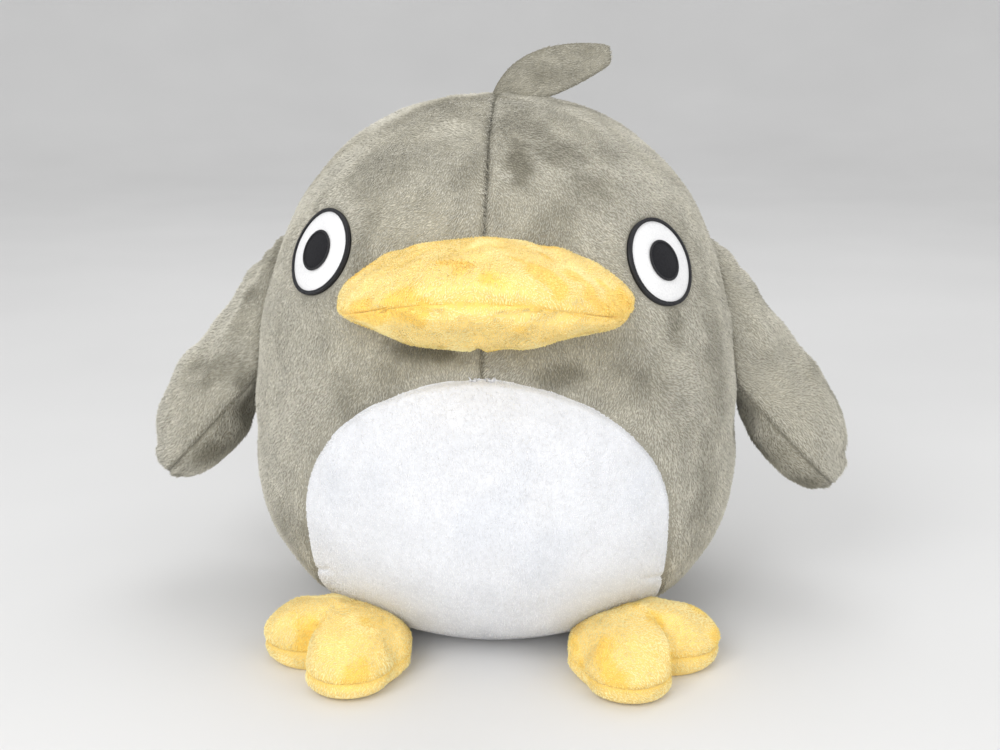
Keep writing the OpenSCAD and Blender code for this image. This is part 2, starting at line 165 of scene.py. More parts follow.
def rounded(name, mesh, levels):  # the mesh with its corners rounded
    ob = objectOf(name, mesh)
    sub = ob.modifiers.new("rounding", "SUBSURF")
    sub.levels = sub.render_levels = levels
    fine = evaluated(ob)
    drop(ob)
    return fine


def flipAll(faces):
    return [f[::-1] for f in faces]


def turnedTo(way, verts, faces, index=0):  # flips all the faces if the one at index looks away from way
    a, b, c = (verts[k] for k in faces[index][:3])
    return flipAll(faces) if np.cross(b - a, c - a) @ way < 0 else faces


# nodes and materials

def addNode(tree, kind, inputs=(), **settings):  # a node with its settings, its values and its links
    node = tree.nodes.new(kind)
    for key, value in settings.items():
        setattr(node, key, value)
    for socket, value in dict(inputs).items():
        if isinstance(value, bpy.types.NodeSocket):
            tree.links.new(value, node.inputs[socket])
        else:
            node.inputs[socket].default_value = value
    return node


def newMaterial(name):
    mat = bpy.data.materials.new(name)
    mat.use_nodes = True
    mat.node_tree.nodes.clear()
    return mat, mat.node_tree, addNode(mat.node_tree, "ShaderNodeTexCoord").outputs["Object"]


def surface(tree, inputs):
    shader = addNode(tree, "ShaderNodeBsdfPrincipled", inputs)
    addNode(tree, "ShaderNodeOutputMaterial", {0: shader.outputs[0]})


def noise(tree, place, scale, detail):
    return addNode(tree, "ShaderNodeTexNoise", {"Scale": scale, "Detail": detail, "Roughness": 0.55,
                                                "Vector": place}).outputs["Fac"]


def ramp(tree, source, lowAt, low, highAt, high):
    node = addNode(tree, "ShaderNodeValToRGB", {0: source})
    for stop, at, colour in zip(node.color_ramp.elements, (lowAt, highAt), (low, high)):
        stop.position, stop.color = at, (*colour, 1)
    return node.outputs[0]


def mix(tree, factor, a, b, how="MIX"):
    b = (*b, 1) if isinstance(b, tuple) else b
    return addNode(tree, "ShaderNodeMix", {0: factor, 6: a, 7: b}, data_type="RGBA", blend_type=how).outputs[2]


def bump(tree, height, distance, strength):
    return addNode(tree, "ShaderNodeBump",
                   {"Distance": distance, "Strength": strength, "Height": height}).outputs[0]


# root is the darker colour deep in the pile and on the bare cloth between the tufts: painted shade where the tufts
# shadow one another; tip is the colour at the tufts' ends
plushLooks = {
    "grey": dict(root=(0.37, 0.35, 0.285), tip=(0.68, 0.655, 0.57), brushedAndShaded=(0.36, 0.35, 0.30), sheen=0.28,
                 mottle=0.13),
    "yellow": dict(root=(0.94, 0.70, 0.24), tip=(1.0, 0.90, 0.49), brushedAndShaded=(1.0, 0.89, 0.50), sheen=0.25,
                   mottle=0.07),
    "white": dict(root=(0.76, 0.77, 0.80), tip=(0.89, 0.89, 0.90), brushedAndShaded=(0.90, 0.92, 0.95), sheen=0.12,
                  mottle=0.05),
}
plushGrain = dict(tuft=420, patch=55, fibre=900, depth=0.0006, strength=0.35, tipAt=0.55)


def plushMaterial(name, look):
    mat, tree, place = newMaterial(name)
    tip, brushedAndShaded = (addNode(tree, "ShaderNodeAttribute", attribute_name=label).outputs["Fac"]
                    for label in ("tip", "brushedAndShaded"))
    # the colour runs from the darker root, painted shade deep in the pile, to the tip colour
    shade = ramp(tree, tip, 0.0, look["root"], plushGrain["tipAt"], look["tip"])
    low = [1 - look["mottle"]] * 3
    high = [1 + look["mottle"] * 0.6] * 3
    for scale, detail in ((plushGrain["tuft"], 2), (plushGrain["patch"], 3)):
        mottled = ramp(tree, noise(tree, place, scale, detail), 0.3, low, 0.7, high)
        shade = mix(tree, 1.0, shade, mottled, "MULTIPLY")
    # darkened where the mark is set: brushed patches of pile, and painted shade along seams, on the flippers' inner
    # panels and in the tuft's fold
    shade = mix(tree, brushedAndShaded, shade, mix(tree, 1.0, shade, look["brushedAndShaded"], "MULTIPLY"))
    grain = noise(tree, place, plushGrain["fibre"], 2)
    surface(tree, {"Base Color": shade, "Roughness": 0.88, "Specular IOR Level": 0.15,
                   "Sheen Weight": look["sheen"], "Sheen Roughness": 0.45,
                   "Normal": bump(tree, grain, plushGrain["depth"], plushGrain["strength"])})
    return mat


def plainCloth(name, colour, dark, scale, depth, rough=0.85, sheen=0.1):
    mat, tree, place = newMaterial(name)
    fine = noise(tree, place, scale, 4)
    broad = noise(tree, place, scale / 9, 3)
    shade = mix(tree, 0.25, ramp(tree, fine, 0.25, dark, 0.65, colour), ramp(tree, broad, 0.3, dark, 0.7, colour))
    surface(tree, {"Base Color": shade, "Roughness": rough, "Specular IOR Level": 0.2, "Sheen Weight": sheen,
                   "Normal": bump(tree, fine, depth, 0.5)})
    return mat


def threadMaterial(name, colour, glow):
    mat, tree, place = newMaterial(name)
    fine = noise(tree, place, 1500, 2)
    surface(tree, {"Base Color": ramp(tree, fine, 0.3, colour, 0.7, glow), "Roughness": 0.42,
                   "Specular IOR Level": 0.4, "Normal": bump(tree, fine, 0.0001, 0.4)})
    return mat


plush = {kind: plushMaterial(kind + "Plush", look) for kind, look in plushLooks.items()}
whiteFelt = plainCloth("whiteFelt", (0.88, 0.88, 0.88), (0.74, 0.74, 0.75), 1100, 0.0002)
pupilFelt = plainCloth("pupilFelt", (0.016, 0.016, 0.019), (0.006, 0.006, 0.008), 1100, 0.0003, 0.8, 0.05)
blackThread = threadMaterial("blackThread", (0.008, 0.008, 0.010), (0.020, 0.020, 0.024))
greyThread = threadMaterial("greyThread", (0.26, 0.24, 0.20), (0.36, 0.34, 0.29))
labelSatin = plainCloth("labelSatin", (0.86, 0.86, 0.84), (0.78, 0.78, 0.76), 1800, 0.00008, 0.45, 0.2)
looseFibre = plainCloth("looseFibre", (0.90, 0.90, 0.87), (0.74, 0.74, 0.71), 260, 0.002, 0.95, 0.3)
print("materials made")


# geometry node trees

def newTree(name, inputs):
    tree = bpy.data.node_groups.new(name, "GeometryNodeTree")
    for label, kind in [("Geometry", "Geometry")] + inputs:
        tree.interface.new_socket(label, in_out="INPUT", socket_type="NodeSocket" + kind)
    tree.interface.new_socket("Geometry", in_out="OUTPUT", socket_type="NodeSocketGeometry")
    return tree, addNode(tree, "NodeGroupInput").outputs


def named(tree, name, kind="FLOAT"):
    return addNode(tree, "GeometryNodeInputNamedAttribute", {0: name}, data_type=kind).outputs[0]


def maths(tree, how, a, b=None, kind="ShaderNodeMath"):
    return addNode(tree, kind, {0: a} if b is None else {0: a, 1: b}, operation=how).outputs[0]


def scaled(tree, vector, factor):
    return addNode(tree, "ShaderNodeVectorMath", {0: vector, "Scale": factor}, operation="SCALE").outputs[0]


def varied(tree, low, high, seed):
    return addNode(tree, "FunctionNodeRandomValue", {2: low, 3: high, "Seed": seed}, data_type="FLOAT").outputs[1]


def planted(tree, points, piece, way, width, length):  # one real copy of a piece on each point, along way
    turn = addNode(tree, "FunctionNodeAlignRotationToVector", {"Vector": way}, axis="Z")
    size = addNode(tree, "ShaderNodeCombineXYZ", {0: width, 1: width, 2: length})
    place = addNode(tree, "GeometryNodeInstanceOnPoints", {"Points": points, "Instance": piece,
                                                           "Rotation": turn.outputs[0], "Scale": size.outputs[0]})
    return addNode(tree, "GeometryNodeRealizeInstances", {0: place.outputs[0]}).outputs[0]


def dressed(tree, geometry, material):
    look = addNode(tree, "GeometryNodeSetMaterial", {"Geometry": geometry, "Material": material})
    addNode(tree, "NodeGroupOutput", {0: look.outputs[0]})
    return tree


def applyTree(ob, label, tree, values):
    mod = ob.modifiers.new(label, "NODES")
    mod.node_group = tree
    for item in tree.interface.items_tree:
        if item.in_out == "INPUT" and item.name in values:
            mod[item.identifier] = values[item.name]
    mesh, old = evaluated(ob), ob.data
    ob.modifiers.clear()
    ob.data = mesh
    bpy.data.meshes.remove(old)
    mesh.name = ob.name
    return ob


# pile: thin combed tufts over a cloth panel

pileKinds = {
    "grey": dict(density=1.05e6, length=0.0022, width=0.00030, lean=24.0, stray=0.30),
    "yellow": dict(density=1.1e6, length=0.0014, width=0.00034, lean=26.0, stray=0.28),
    "white": dict(density=0.9e6, length=0.0010, width=0.00030, lean=26.0, stray=0.25),
}
# rootShade and tipShade set the tip value along each tuft, which the material turns into painted shade towards the
# root
pileGrowth = dict(least=0.04, shortest=0.65, longest=1.25, rootShade=0.2, tipShade=0.8, quickShare=0.35)


def pileTree():
    floats = ("Density", "Length", "Width", "Lean", "Stray")
    tree, source = newTree("combedPile", [(label, "Float") for label in floats]
                           + [("Seed", "Int"), ("Cloth", "Material")])
    pile = named(tree, "pile")
    kept = maths(tree, "GREATER_THAN", pile, pileGrowth["least"])
    spread = addNode(tree, "GeometryNodeDistributePointsOnFaces",
                     {"Mesh": source["Geometry"], "Density": maths(tree, "MULTIPLY", kept, source["Density"]),
                      "Seed": source["Seed"]}).outputs
    stray = addNode(tree, "FunctionNodeRandomValue",
                    {"Min": (-1, -1, -1), "Max": (1, 1, 1), "Seed": source["Seed"]}, data_type="FLOAT_VECTOR")
    slope = maths(tree, "RADIANS", source["Lean"])
    rise = scaled(tree, spread["Normal"], maths(tree, "SINE", slope))
    run = scaled(tree, named(tree, "comb", "FLOAT_VECTOR"), maths(tree, "COSINE", slope))
    way = maths(tree, "ADD", rise, run, "ShaderNodeVectorMath")
    way = maths(tree, "ADD", way, scaled(tree, stray.outputs[0], source["Stray"]), "ShaderNodeVectorMath")

    tuftShape = addNode(tree, "GeometryNodeMeshCone",
                        {"Vertices": 3, "Radius Top": 0, "Radius Bottom": 1, "Depth": 1}, fill_type="NONE")
    height = addNode(tree, "ShaderNodeSeparateXYZ", {0: addNode(tree, "GeometryNodeInputPosition").outputs[0]})
    shade = maths(tree, "MULTIPLY", height.outputs["Z"], pileGrowth["tipShade"])
    marked = addNode(tree, "GeometryNodeStoreNamedAttribute",
                     {"Geometry": tuftShape.outputs["Mesh"], "Name": "tip",
                      "Value": maths(tree, "ADD", shade, pileGrowth["rootShade"])},
                     data_type="FLOAT", domain="POINT")
    vary = varied(tree, pileGrowth["shortest"], pileGrowth["longest"], maths(tree, "ADD", source["Seed"], 7))
    long = maths(tree, "MULTIPLY", maths(tree, "MULTIPLY", source["Length"], vary), pile)
    tufts = planted(tree, spread["Points"], marked.outputs[0], way, source["Width"], long)
    mapped = addNode(tree, "GeometryNodeStoreNamedAttribute",
                     {"Geometry": tufts, "Name": "OFBake", "Value": named(tree, "OFBake", "FLOAT_VECTOR")},
                     data_type="FLOAT2", domain="CORNER")
    join = addNode(tree, "GeometryNodeJoinGeometry", {0: mapped.outputs[0]})
    tree.links.new(source["Geometry"], join.inputs[0])
    return dressed(tree, join.outputs[0], source["Cloth"])


pileNodes = pileTree()


# a cloth panel: an open patch of faces made into a closed layer of cloth, with its pile

# dark is how much painted shade darkens a limb's seam groove
panelSeam = dict(width=0.0024, bare=0.0020, least=0.25, dark=0.60, calm=0.004)
panelMap = dict(outer=(0.78, 1.0), inner=(0.18, 0.98), innerAt=(0.81, 0.01))  # shares of the texture map


def openEdges(polys):  # the edges that only one face uses
    used = dict.fromkeys((a, b) for f in polys for a, b in zip(f, f[1:] + f[:1]))
    return [(a, b) for a, b in used if (b, a) not in used]


def seamDistance(p, edges):  # from each point to the nearest point of the panel's cut edge
    edge = sorted({v for e in edges for v in e})
    tree = KDTree(len(edge))
    for i, v in enumerate(edge):
        tree.insert(Vector(p[v]), i)
    tree.balance()
    return np.array([tree.find(Vector(q))[2] for q in p])


def clothPanel(name, verts, faces, uv, kind, seed, levels, thick, shape, comb=None, pile=None, brush=None,
               share=1.0, seam=0.0, middle=None):
    mesh = meshOf(name, verts, faces)
    setUv(mesh, uv)
    fine = rounded(name, mesh, levels)
    p = coords(fine)
    count = len(p)
    polys = [list(f.vertices) for f in fine.polygons]
    edges = openEdges(polys)
    fromSeam = seamDistance(p, edges) if seam > 0 else np.full(count, 1.0)
    p = p + (shape(p, normals(fine)) - p) * smooth(0, panelSeam["calm"], fromSeam)[:, None]
    setCoords(fine, p)
    n = normals(fine)
    if seam > 0:  # both panels of a limb are drawn towards its middle, so their edges stay together
        p = p - unit(p - middle) * (seam * bell(fromSeam, panelSeam["width"]))[:, None]
    places = np.zeros(len(fine.loops) * 2, np.float32)
    fine.uv_layers["OFBake"].uv.foreach_get("vector", places)
    vertUv = np.zeros((count, 2), np.float32)
    vertUv[loopPoints(fine)] = places.reshape(-1, 2)
    bpy.data.meshes.remove(fine)
    allFaces = (polys + [[i + count for i in reversed(f)] for f in polys]
                + [[b, a, a + count, b + count] for a, b in edges])
    whole = meshOf(name, np.vstack([p, p - n * thick]), allFaces)
    inner = vertUv * np.array(panelMap["inner"]) + np.array(panelMap["innerAt"])
    setUv(whole, np.vstack([vertUv * np.array(panelMap["outer"]), inner]))
    ways = alongCloth(comb(p, n) if comb else everywhere(p, [0, 0, -1.0]), n)
    long = pile(p, n) if pile else np.ones(count)
    long = long * (panelSeam["least"] + (1 - panelSeam["least"]) * smooth(0, panelSeam["bare"], fromSeam))
    marks = brush(p, n) if brush else np.zeros(count)
    if seam > 0:
        # the seam groove darkened as painted shade
        marks = np.maximum(marks, panelSeam["dark"] * bell(fromSeam, panelSeam["bare"]))
    addAttribute(whole, "pile", "FLOAT", np.concatenate([long, np.zeros(count)]))
    # the mark holds brushed patches and painted shade
    addAttribute(whole, "brushedAndShaded", "FLOAT", np.concatenate([marks, marks]))
    addAttribute(whole, "comb", "FLOAT_VECTOR", np.vstack([ways, ways]))
    kindOf = pileKinds[kind]
    values = {label.capitalize(): value for label, value in kindOf.items()}
    values.update(Density=kindOf["density"] * share * 1, Seed=seed,
                  Cloth=plush[kind])
    return applyTree(softObject(name, whole, plush[kind]), "pile", pileNodes, values)


# stuffing: cloth with pressure inside, held along its seams

simulation = dict(frames=20, calm=0.014, cloth=dict(quality=5, mass=0.3, tension_stiffness=12,
                                                    compression_stiffness=12, shear_stiffness=6,
                                                    bending_stiffness=0.6, air_damping=3))


def stuff(name, verts, faces, held, tip=None, cap=0.004, pressure=4.0, spare=0.03):
    ob = objectOf(name, meshOf(name, verts, faces))
    ob.vertex_groups.new(name="sewn").add([int(i) for i in np.nonzero(held)[0]], 1.0, "REPLACE")
    mod = ob.modifiers.new("stuffing", "CLOTH")
    for key, value in simulation["cloth"].items():
        setattr(mod.settings, key, value)
    mod.settings.vertex_group_mass = "sewn"
    mod.settings.shrink_min = -spare
    mod.settings.use_pressure = True
    mod.settings.uniform_pressure_force = pressure
    mod.settings.effector_weights.gravity = 0
    mod.point_cache.frame_start, mod.point_cache.frame_end = 1, simulation["frames"]
    for f in range(1, simulation["frames"] + 1):
        scene.frame_set(f)
    mesh = evaluated(ob)
    change = coords(mesh) - verts
    bpy.data.meshes.remove(mesh)
    drop(ob)
    scene.frame_set(1)
    far = np.linalg.norm(change, axis=1, keepdims=True)
    change *= np.minimum(1, cap / np.maximum(far, 1e-9))
    change[held] = 0
    if tip is not None:
        change *= smooth(0, simulation["calm"], np.linalg.norm(verts - tip, axis=1))[:, None]
    print(f"{name}: stuffed, moved up to {np.minimum(far, cap).max() * 1000:.1f} mm")
    return verts + change


# the body: a turned outline, a little uneven, cut into panels

body = dict(top=0.275, halfWidth=0.130, widest=0.095, lowReach=0.106, upPower=2.32, lowPower=2.4,
            baseSeam=0.009, columns=96, baseRows=6, rows=50, crowding=0.10, levels=2, thick=0.0016,
            seamDepth=0.0020, seamWidth=0.0019, seamShade=0.65, shadeWidth=0.0011, lump=0.0007,
            baseDent=0.0018, baseWidth=0.003, patchWidth=0.0026, eyeDent=0.0011)
bodyMarks = dict(size=0.05, fine=0.014, fineShare=0.25, low=0.15, high=1.5, strength=0.42)


def fullness(z, outline):  # half the width at a height, for an outline that is widest at one height
    up = z > outline["widest"]
    t = np.where(up, (z - outline["widest"]) / (outline["top"] - outline["widest"]),
                 (outline["widest"] - z) / outline["lowReach"])
    power = np.where(up, outline["upPower"], outline["lowPower"])
    return outline["halfWidth"] * np.maximum(0, 1 - np.clip(t, 0, 1) ** power) ** (1 / power)


def halfAt(z, outline):
    return fullness(np.array([z]), outline)[0]


def bodyGrid():
    crown = 0.27  # finer steps from here up
    z = np.concatenate([np.linspace(0, crown, 1200),
                        crown + (body["top"] - crown) * np.sin(np.linspace(0, 1, 800) * math.pi / 2)])
    r = fullness(z, body)
    r[-1] = 0
    along = np.concatenate([[0], np.cumsum(np.hypot(np.diff(r), np.diff(z)))])
    seamAt = np.interp(body["baseSeam"], z, along)
    steps = np.concatenate([[0, seamAt / 2], np.linspace(seamAt, along[-1], body["rows"] + 1)[:-1]])
    baseR = np.linspace(0, halfAt(0.0, body), body["baseRows"] + 1)[1:-1]
    ringR = np.concatenate([baseR, np.interp(steps, along, r)])
    ringZ = np.concatenate([np.zeros(body["baseRows"] - 1), np.interp(steps, along, z)])
    count = body["columns"]
    t = np.arange(count) / count * 2 * math.pi
    t = t - body["crowding"] * np.sin(4 * t)  # columns crowd at the four seams
    x = ringR[:, None] * np.sin(t)[None, :]
    y = -ringR[:, None] * np.cos(t)[None, :]
    verts = np.stack([x, y, np.repeat(ringZ[:, None], count, 1)], -1).reshape(-1, 3)
    return np.vstack([verts, [[0, 0, 0], [0, 0, body["top"]]]]), len(ringR)


def bodyFaces(fromRow, toRow, fromCol, toCol):
    base, crown = bodyRows * bodyCount, bodyRows * bodyCount + 1
    faces = []
    for j in range(fromCol, toCol):
        k, j0 = (j + 1) % bodyCount, j % bodyCount
        if fromRow == 0:
            faces.append([base, k, j0])
        for i in range(fromRow, min(toRow, bodyRows - 1)):
            low, high = i * bodyCount, (i + 1) * bodyCount
            faces.append([low + j0, low + k, high + k, high + j0])
        if toRow >= bodyRows:
            faces.append([(bodyRows - 1) * bodyCount + j0, (bodyRows - 1) * bodyCount + k, crown])
    return faces


def compact(verts, faces):  # only the points that the faces use, and which they were
    used = np.unique(np.concatenate([np.asarray(f) for f in faces]))
    back = np.full(len(verts), -1)
    back[used] = np.arange(len(used))
    return verts[used], [[int(back[i]) for i in f] for f in faces], used


def bodyOut(p):  # a way out of the body that neighbouring panels agree on
    return unit(np.stack([p[:, 0], p[:, 1], (p[:, 2] - 0.10) * 0.85], -1))


bodyCount, seamRow, quarter = body["columns"], body["baseRows"] + 1, body["columns"] // 4
bodyVerts, bodyRows = bodyGrid()
allBody = bodyFaces(0, bodyRows, 0, bodyCount)
columnOf = np.concatenate([np.tile(np.arange(bodyCount), bodyRows), [-1, -1]])
rowOf = np.concatenate([np.repeat(np.arange(bodyRows), bodyCount), [0, bodyRows]])
sewn = (rowOf <= seamRow) | ((columnOf % quarter == 0) & (rowOf > seamRow)) | (rowOf == bodyRows)
bodyVerts = stuff("bodyCover", bodyVerts, allBody, sewn, cap=0.0010, pressure=1.2, spare=0.010)
lumps = ripple(bodyVerts, 0.075, 11) * body["lump"] + ripple(bodyVerts, 0.032, 12) * body["lump"] * 0.5
lumps *= smooth(0.004, 0.03, bodyVerts[:, 2])
bodyVerts = bodyVerts + bodyOut(bodyVerts) * lumps[:, None]
wholeMesh = rounded("wholeBody", meshOf("wholeBody", bodyVerts, allBody), body["levels"])
bodyTree = BVHTree.FromPolygons([Vector(c) for c in coords(wholeMesh)],
                                [list(f.vertices) for f in wholeMesh.polygons])
bpy.data.meshes.remove(wholeMesh)


def hitBody(start, way):
    return np.array(bodyTree.ray_cast(Vector(start), Vector(way))[0])


def onFront(x, z):
    return hitBody((x, -0.4, z), (0, 1, 0))


patch = dict(halfWidth=0.0905, widest=0.080, top=0.156, lowReach=0.092, upPower=1.9, lowPower=4.0, rows=40,
             columns=40, proud=0.0004, tuck=0.0022, tuckWidth=0.0022, dart=0.0014, dartWidth=0.0016,
             sideDart=0.0016, sideWidth=0.0018, crease=0.00025, creaseSize=0.020)
patchMarks = dict(size=0.045, fine=0.01, fineShare=0, low=0.3, high=1.1, strength=0.35)


def patchHeights(count):
    return body["baseSeam"] + (patch["top"] - body["baseSeam"]) * np.sin(np.linspace(0, 1, count) * math.pi / 2)


def patchEdge():
    z = patchHeights(140)
    x = fullness(z, patch)
    x[-1] = 0
    side = [onFront(a, b) for a, b in zip(x, z)]
    return np.array(side + [s * np.array([-1, 1, 1]) for s in side[-2::-1]])


patchLine = patchEdge()
lineTree = KDTree(len(patchLine) * 4)
for i in range((len(patchLine) - 1) * 4):
    k, f = divmod(i, 4)
    lineTree.insert(Vector(patchLine[k] * (1 - f / 4) + patchLine[k + 1] * f / 4), i)
lineTree.balance()


def patchDistance(p):  # from the patch's outline, less than nothing inside it
    far = np.array([lineTree.find(Vector(q))[2] for q in p])
    inside = (np.abs(p[:, 0]) < fullness(p[:, 2], patch)) & (p[:, 1] < 0) & (p[:, 2] < patch["top"])
    return np.where(inside, -far, far)


eyes = dict(radius=0.0220, rim=0.0019, pupil=0.0103, pupilRim=0.0012, turn=48, height=0.203, uneven=0.003,
            stitches=330, pupilStitches=170, thread=0.00033, slant=0.10)


def eyeFrame(side):
    z = eyes["height"] - side * eyes["uneven"] / 2
    t = math.radians(eyes["turn"]) * side
    slope = (halfAt(z + 0.001, body) - halfAt(z - 0.001, body)) / 0.002
    out = unit(np.array([math.sin(t), -math.cos(t), -slope]))
    across = np.array([math.cos(t), math.sin(t), 0.0])
    up = np.cross(out, across)
    up = up if up[2] > 0 else -up
    centre = np.array([math.sin(t), -math.cos(t), 0]) * halfAt(z, body) + np.array([0, 0, z])
    return centre, out, across, up


eyeFrames = {side: eyeFrame(side) for side in (-1, 1)}


def eyeDistance(p):
    far = np.full(len(p), 1.0)
    for centre, out, across, up in eyeFrames.values():
        d = p - centre
        r = np.hypot(d @ across, d @ up) - eyes["radius"]
        far = np.where(np.abs(d @ out) < 0.02, np.minimum(far, r), far)
    return far


brushSpots = [  # angle from the front, height, half width, half height, strength
    (11, 0.249, 0.007, 0.010, 0.75), (27, 0.253, 0.016, 0.007, 0.55), (20, 0.262, 0.012, 0.006, 0.45),
    (33, 0.236, 0.015, 0.008, 0.45), (47, 0.173, 0.007, 0.009, 0.60), (-13, 0.167, 0.018, 0.006, 0.85),
    (16, 0.157, 0.016, 0.006, 0.60), (62, 0.150, 0.014, 0.040, 0.40), (56, 0.085, 0.012, 0.036, 0.35),
    (-52, 0.060, 0.020, 0.020, 0.30), (-38, 0.243, 0.018, 0.012, 0.22), (140, 0.170, 0.030, 0.022, 0.45),
    (-150, 0.120, 0.026, 0.030, 0.40), (-115, 0.200, 0.018, 0.022, 0.35), (180, 0.235, 0.020, 0.014, 0.40),
]


# brushed patches of pile, and painted shade along the seams
def bodyBrushAndSeamShade(p, n):
    total = np.zeros(len(p))
    wobble = 0.22 * ripple(p, 0.016, 21) + 0.14 * ripple(p, 0.007, 22)
    for angle, z, w, h, strength in brushSpots:
        t = math.radians(angle)
        r = halfAt(z, body)
        d = p - np.array([math.sin(t) * r, -math.cos(t) * r, z])
        side = d @ np.array([math.cos(t), math.sin(t), 0.0])
        flat = np.hypot(side / w, (d[:, 2]) / h) + wobble
        front = np.abs(d @ np.array([math.sin(t), -math.cos(t), 0.0])) < 0.05
        total = np.maximum(total, np.where(front, strength * (1 - smooth(0.30, 1.45, flat)), 0))
    # the front, back and side seams darkened as painted shade in their grooves, on top of the brushed patches
    seam = body["seamShade"] * bell(np.minimum(np.abs(p[:, 0]), np.abs(p[:, 1])), body["shadeWidth"])
    return np.clip(np.maximum(total, blotches(p, bodyMarks, (23, 24))) + seam, 0, 1)


def bodyComb(p, n):
    out = unit(np.stack([p[:, 0], p[:, 1] * 0.6, np.zeros(len(p))], -1))
    down = everywhere(p, [0.0, 0, -1.0]) + out * smooth(0.20, body["top"], p[:, 2])[:, None] * 1.2
    return swirl(down, p, n, 0.75, 0.06, 31)


def baseGroove(p):
    return body["baseDent"] * bell(p[:, 2] - body["baseSeam"], body["baseWidth"])


def coverShape(p, n):  # drawn in at the seams, round the patch and under the eyes
    edge = patchDistance(p)
    dent = body["seamDepth"] * np.maximum(bell(p[:, 0], body["seamWidth"]), bell(p[:, 1], body["seamWidth"]))
    tucked = np.where(edge < 0, 1, bell(np.maximum(edge, 0), body["patchWidth"]))
    dent = np.maximum(np.maximum(dent, patch["tuck"] * tucked), baseGroove(p))
    dent = np.maximum(dent, body["eyeDent"] * (1 - smooth(-0.001, 0.004, eyeDistance(p))))
    return p - bodyOut(p) * dent[:, None]


def coverPile(p, n):
    keep = smooth(0.0003, 0.003, eyeDistance(p)) * smooth(-0.0015, 0.0015, patchDistance(p))
    return keep * (0.86 + 0.14 * ripple(p, 0.02, 41)) * smooth(0.001, 0.004, p[:, 2])


def bodyPanel(name, node, fromCol, seed, front):
    faces = bodyFaces(seamRow, bodyRows, fromCol, fromCol + quarter)
    verts, faces, used = compact(bodyVerts, faces)
    if front:
        far = patchDistance(np.array([verts[f].mean(0) for f in faces]))
        verts, faces, kept = compact(verts, [f for f, d in zip(faces, far) if d > -0.012])
        used = used[kept]
    u = np.where(columnOf[used] < 0, 0.5, (columnOf[used] - fromCol) % bodyCount / quarter)
    v = (rowOf[used] - seamRow) / (bodyRows - seamRow)
    ob = clothPanel(name, verts, faces, np.stack([0.01 + 0.98 * u, 0.01 + 0.98 * v], -1), "grey", seed,
                    body["levels"], body["thick"], coverShape, bodyComb, coverPile, bodyBrushAndSeamShade)
    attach(ob, "torso")
    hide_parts(node)


for k, (name, node) in enumerate((("faceLeftPlush", "face_left_panel"), ("backLeftPlush", "back_left_panel"),
                                  ("backRightPlush", "back_right_panel"),
                                  ("faceRightPlush", "face_right_panel"))):
    bodyPanel(name, node, k * quarter, 101 + k, k in (0, 3))
print("body panels made")


def basePanel():
    verts, faces, _ = compact(bodyVerts, bodyFaces(0, seamRow, 0, bodyCount))
    uv = 0.5 + verts[:, :2] / (2.1 * halfAt(body["baseSeam"], body))

    def shape(p, n):
        p = p - bodyOut(p) * baseGroove(p)[:, None]
        p[:, 2] = np.maximum(p[:, 2], 0)
        return p

    def pile(p, n):
        return smooth(0.0026, 0.006, p[:, 2]) * 0.9

    ob = clothPanel("basePlush", verts, faces, uv, "white", 105, 1, body["thick"], shape, None, pile)
    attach(ob, "torso")
    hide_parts("base_panel")


basePanel()


def bellyPatch():
    rows, columns = patch["rows"], patch["columns"]
    verts, uv = [], []
    for height in patchHeights(rows + 1)[:-1]:
        half = halfAt(height, patch)
        for j in range(columns + 1):
            s = math.sin((2 * j / columns - 1) * math.pi / 2)
            verts.append(onFront(half * s, height))
            uv.append((0.02 + 0.96 * (half * s / patch["halfWidth"] / 2 + 0.5), 0.02 + 0.96 * height / patch["top"]))
    verts.append(onFront(0, patch["top"]))
    uv.append((0.5, 0.98))
    wide = columns + 1
    faces = [[i * wide + j, i * wide + j + 1, (i + 1) * wide + j + 1, (i + 1) * wide + j]
             for i in range(rows - 1) for j in range(columns)]
    faces += [[(rows - 1) * wide + j, (rows - 1) * wide + j + 1, rows * wide] for j in range(columns)]

    def shape(p, n):
        edge = -patchDistance(p)
        lift = patch["proud"] - (patch["tuck"] + patch["proud"]) * bell(np.maximum(edge, 0), patch["tuckWidth"])
        dart = bell(p[:, 0], patch["dartWidth"]) * (1 - smooth(0.012, 0.024, p[:, 2])) * patch["dart"]
        for side in (-1, 1):  # the side darts run in from the outline
            line = unit(np.array([-side * 0.85, 0, 0.45]))
            d = (p - np.array([side * patch["halfWidth"], 0, 0.040])) * np.array([1, 0, 1])
            along = d @ line
            across = np.linalg.norm(d - along[:, None] * line, axis=1)
            dart = dart + bell(across, patch["sideWidth"]) * (1 - smooth(0.006, 0.020, along)) * patch["sideDart"]
        creases = ripple(p * np.array([1, 1, 0.45]), patch["creaseSize"], 51) * patch["crease"]
        creases = creases * (1 - smooth(0.02, 0.06, edge))
        return p + bodyOut(p) * (np.minimum(lift, patch["proud"] - baseGroove(p)) - dart + creases)[:, None]

    def pile(p, n):
        return smooth(0.0002, 0.002, -patchDistance(p)) * (0.9 + 0.1 * ripple(p, 0.03, 52))

    def comb(p, n):
        return swirl(everywhere(p, [0.0, 0, -1.0]), p, n, 0.5, 0.08, 53)

    def brush(p, n):
        return blotches(p, patchMarks, (54, 55))

    ob = clothPanel("bellyPlush", np.array(verts), faces, uv, "white", 106, 2, body["thick"], shape, comb, pile,
                    brush, 0.9)
    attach(ob, "torso")
    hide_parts("belly_patch")


bellyPatch()
print("belly patch and base made")


# stuffed limbs: rings of points along each limb, sewn from two panels

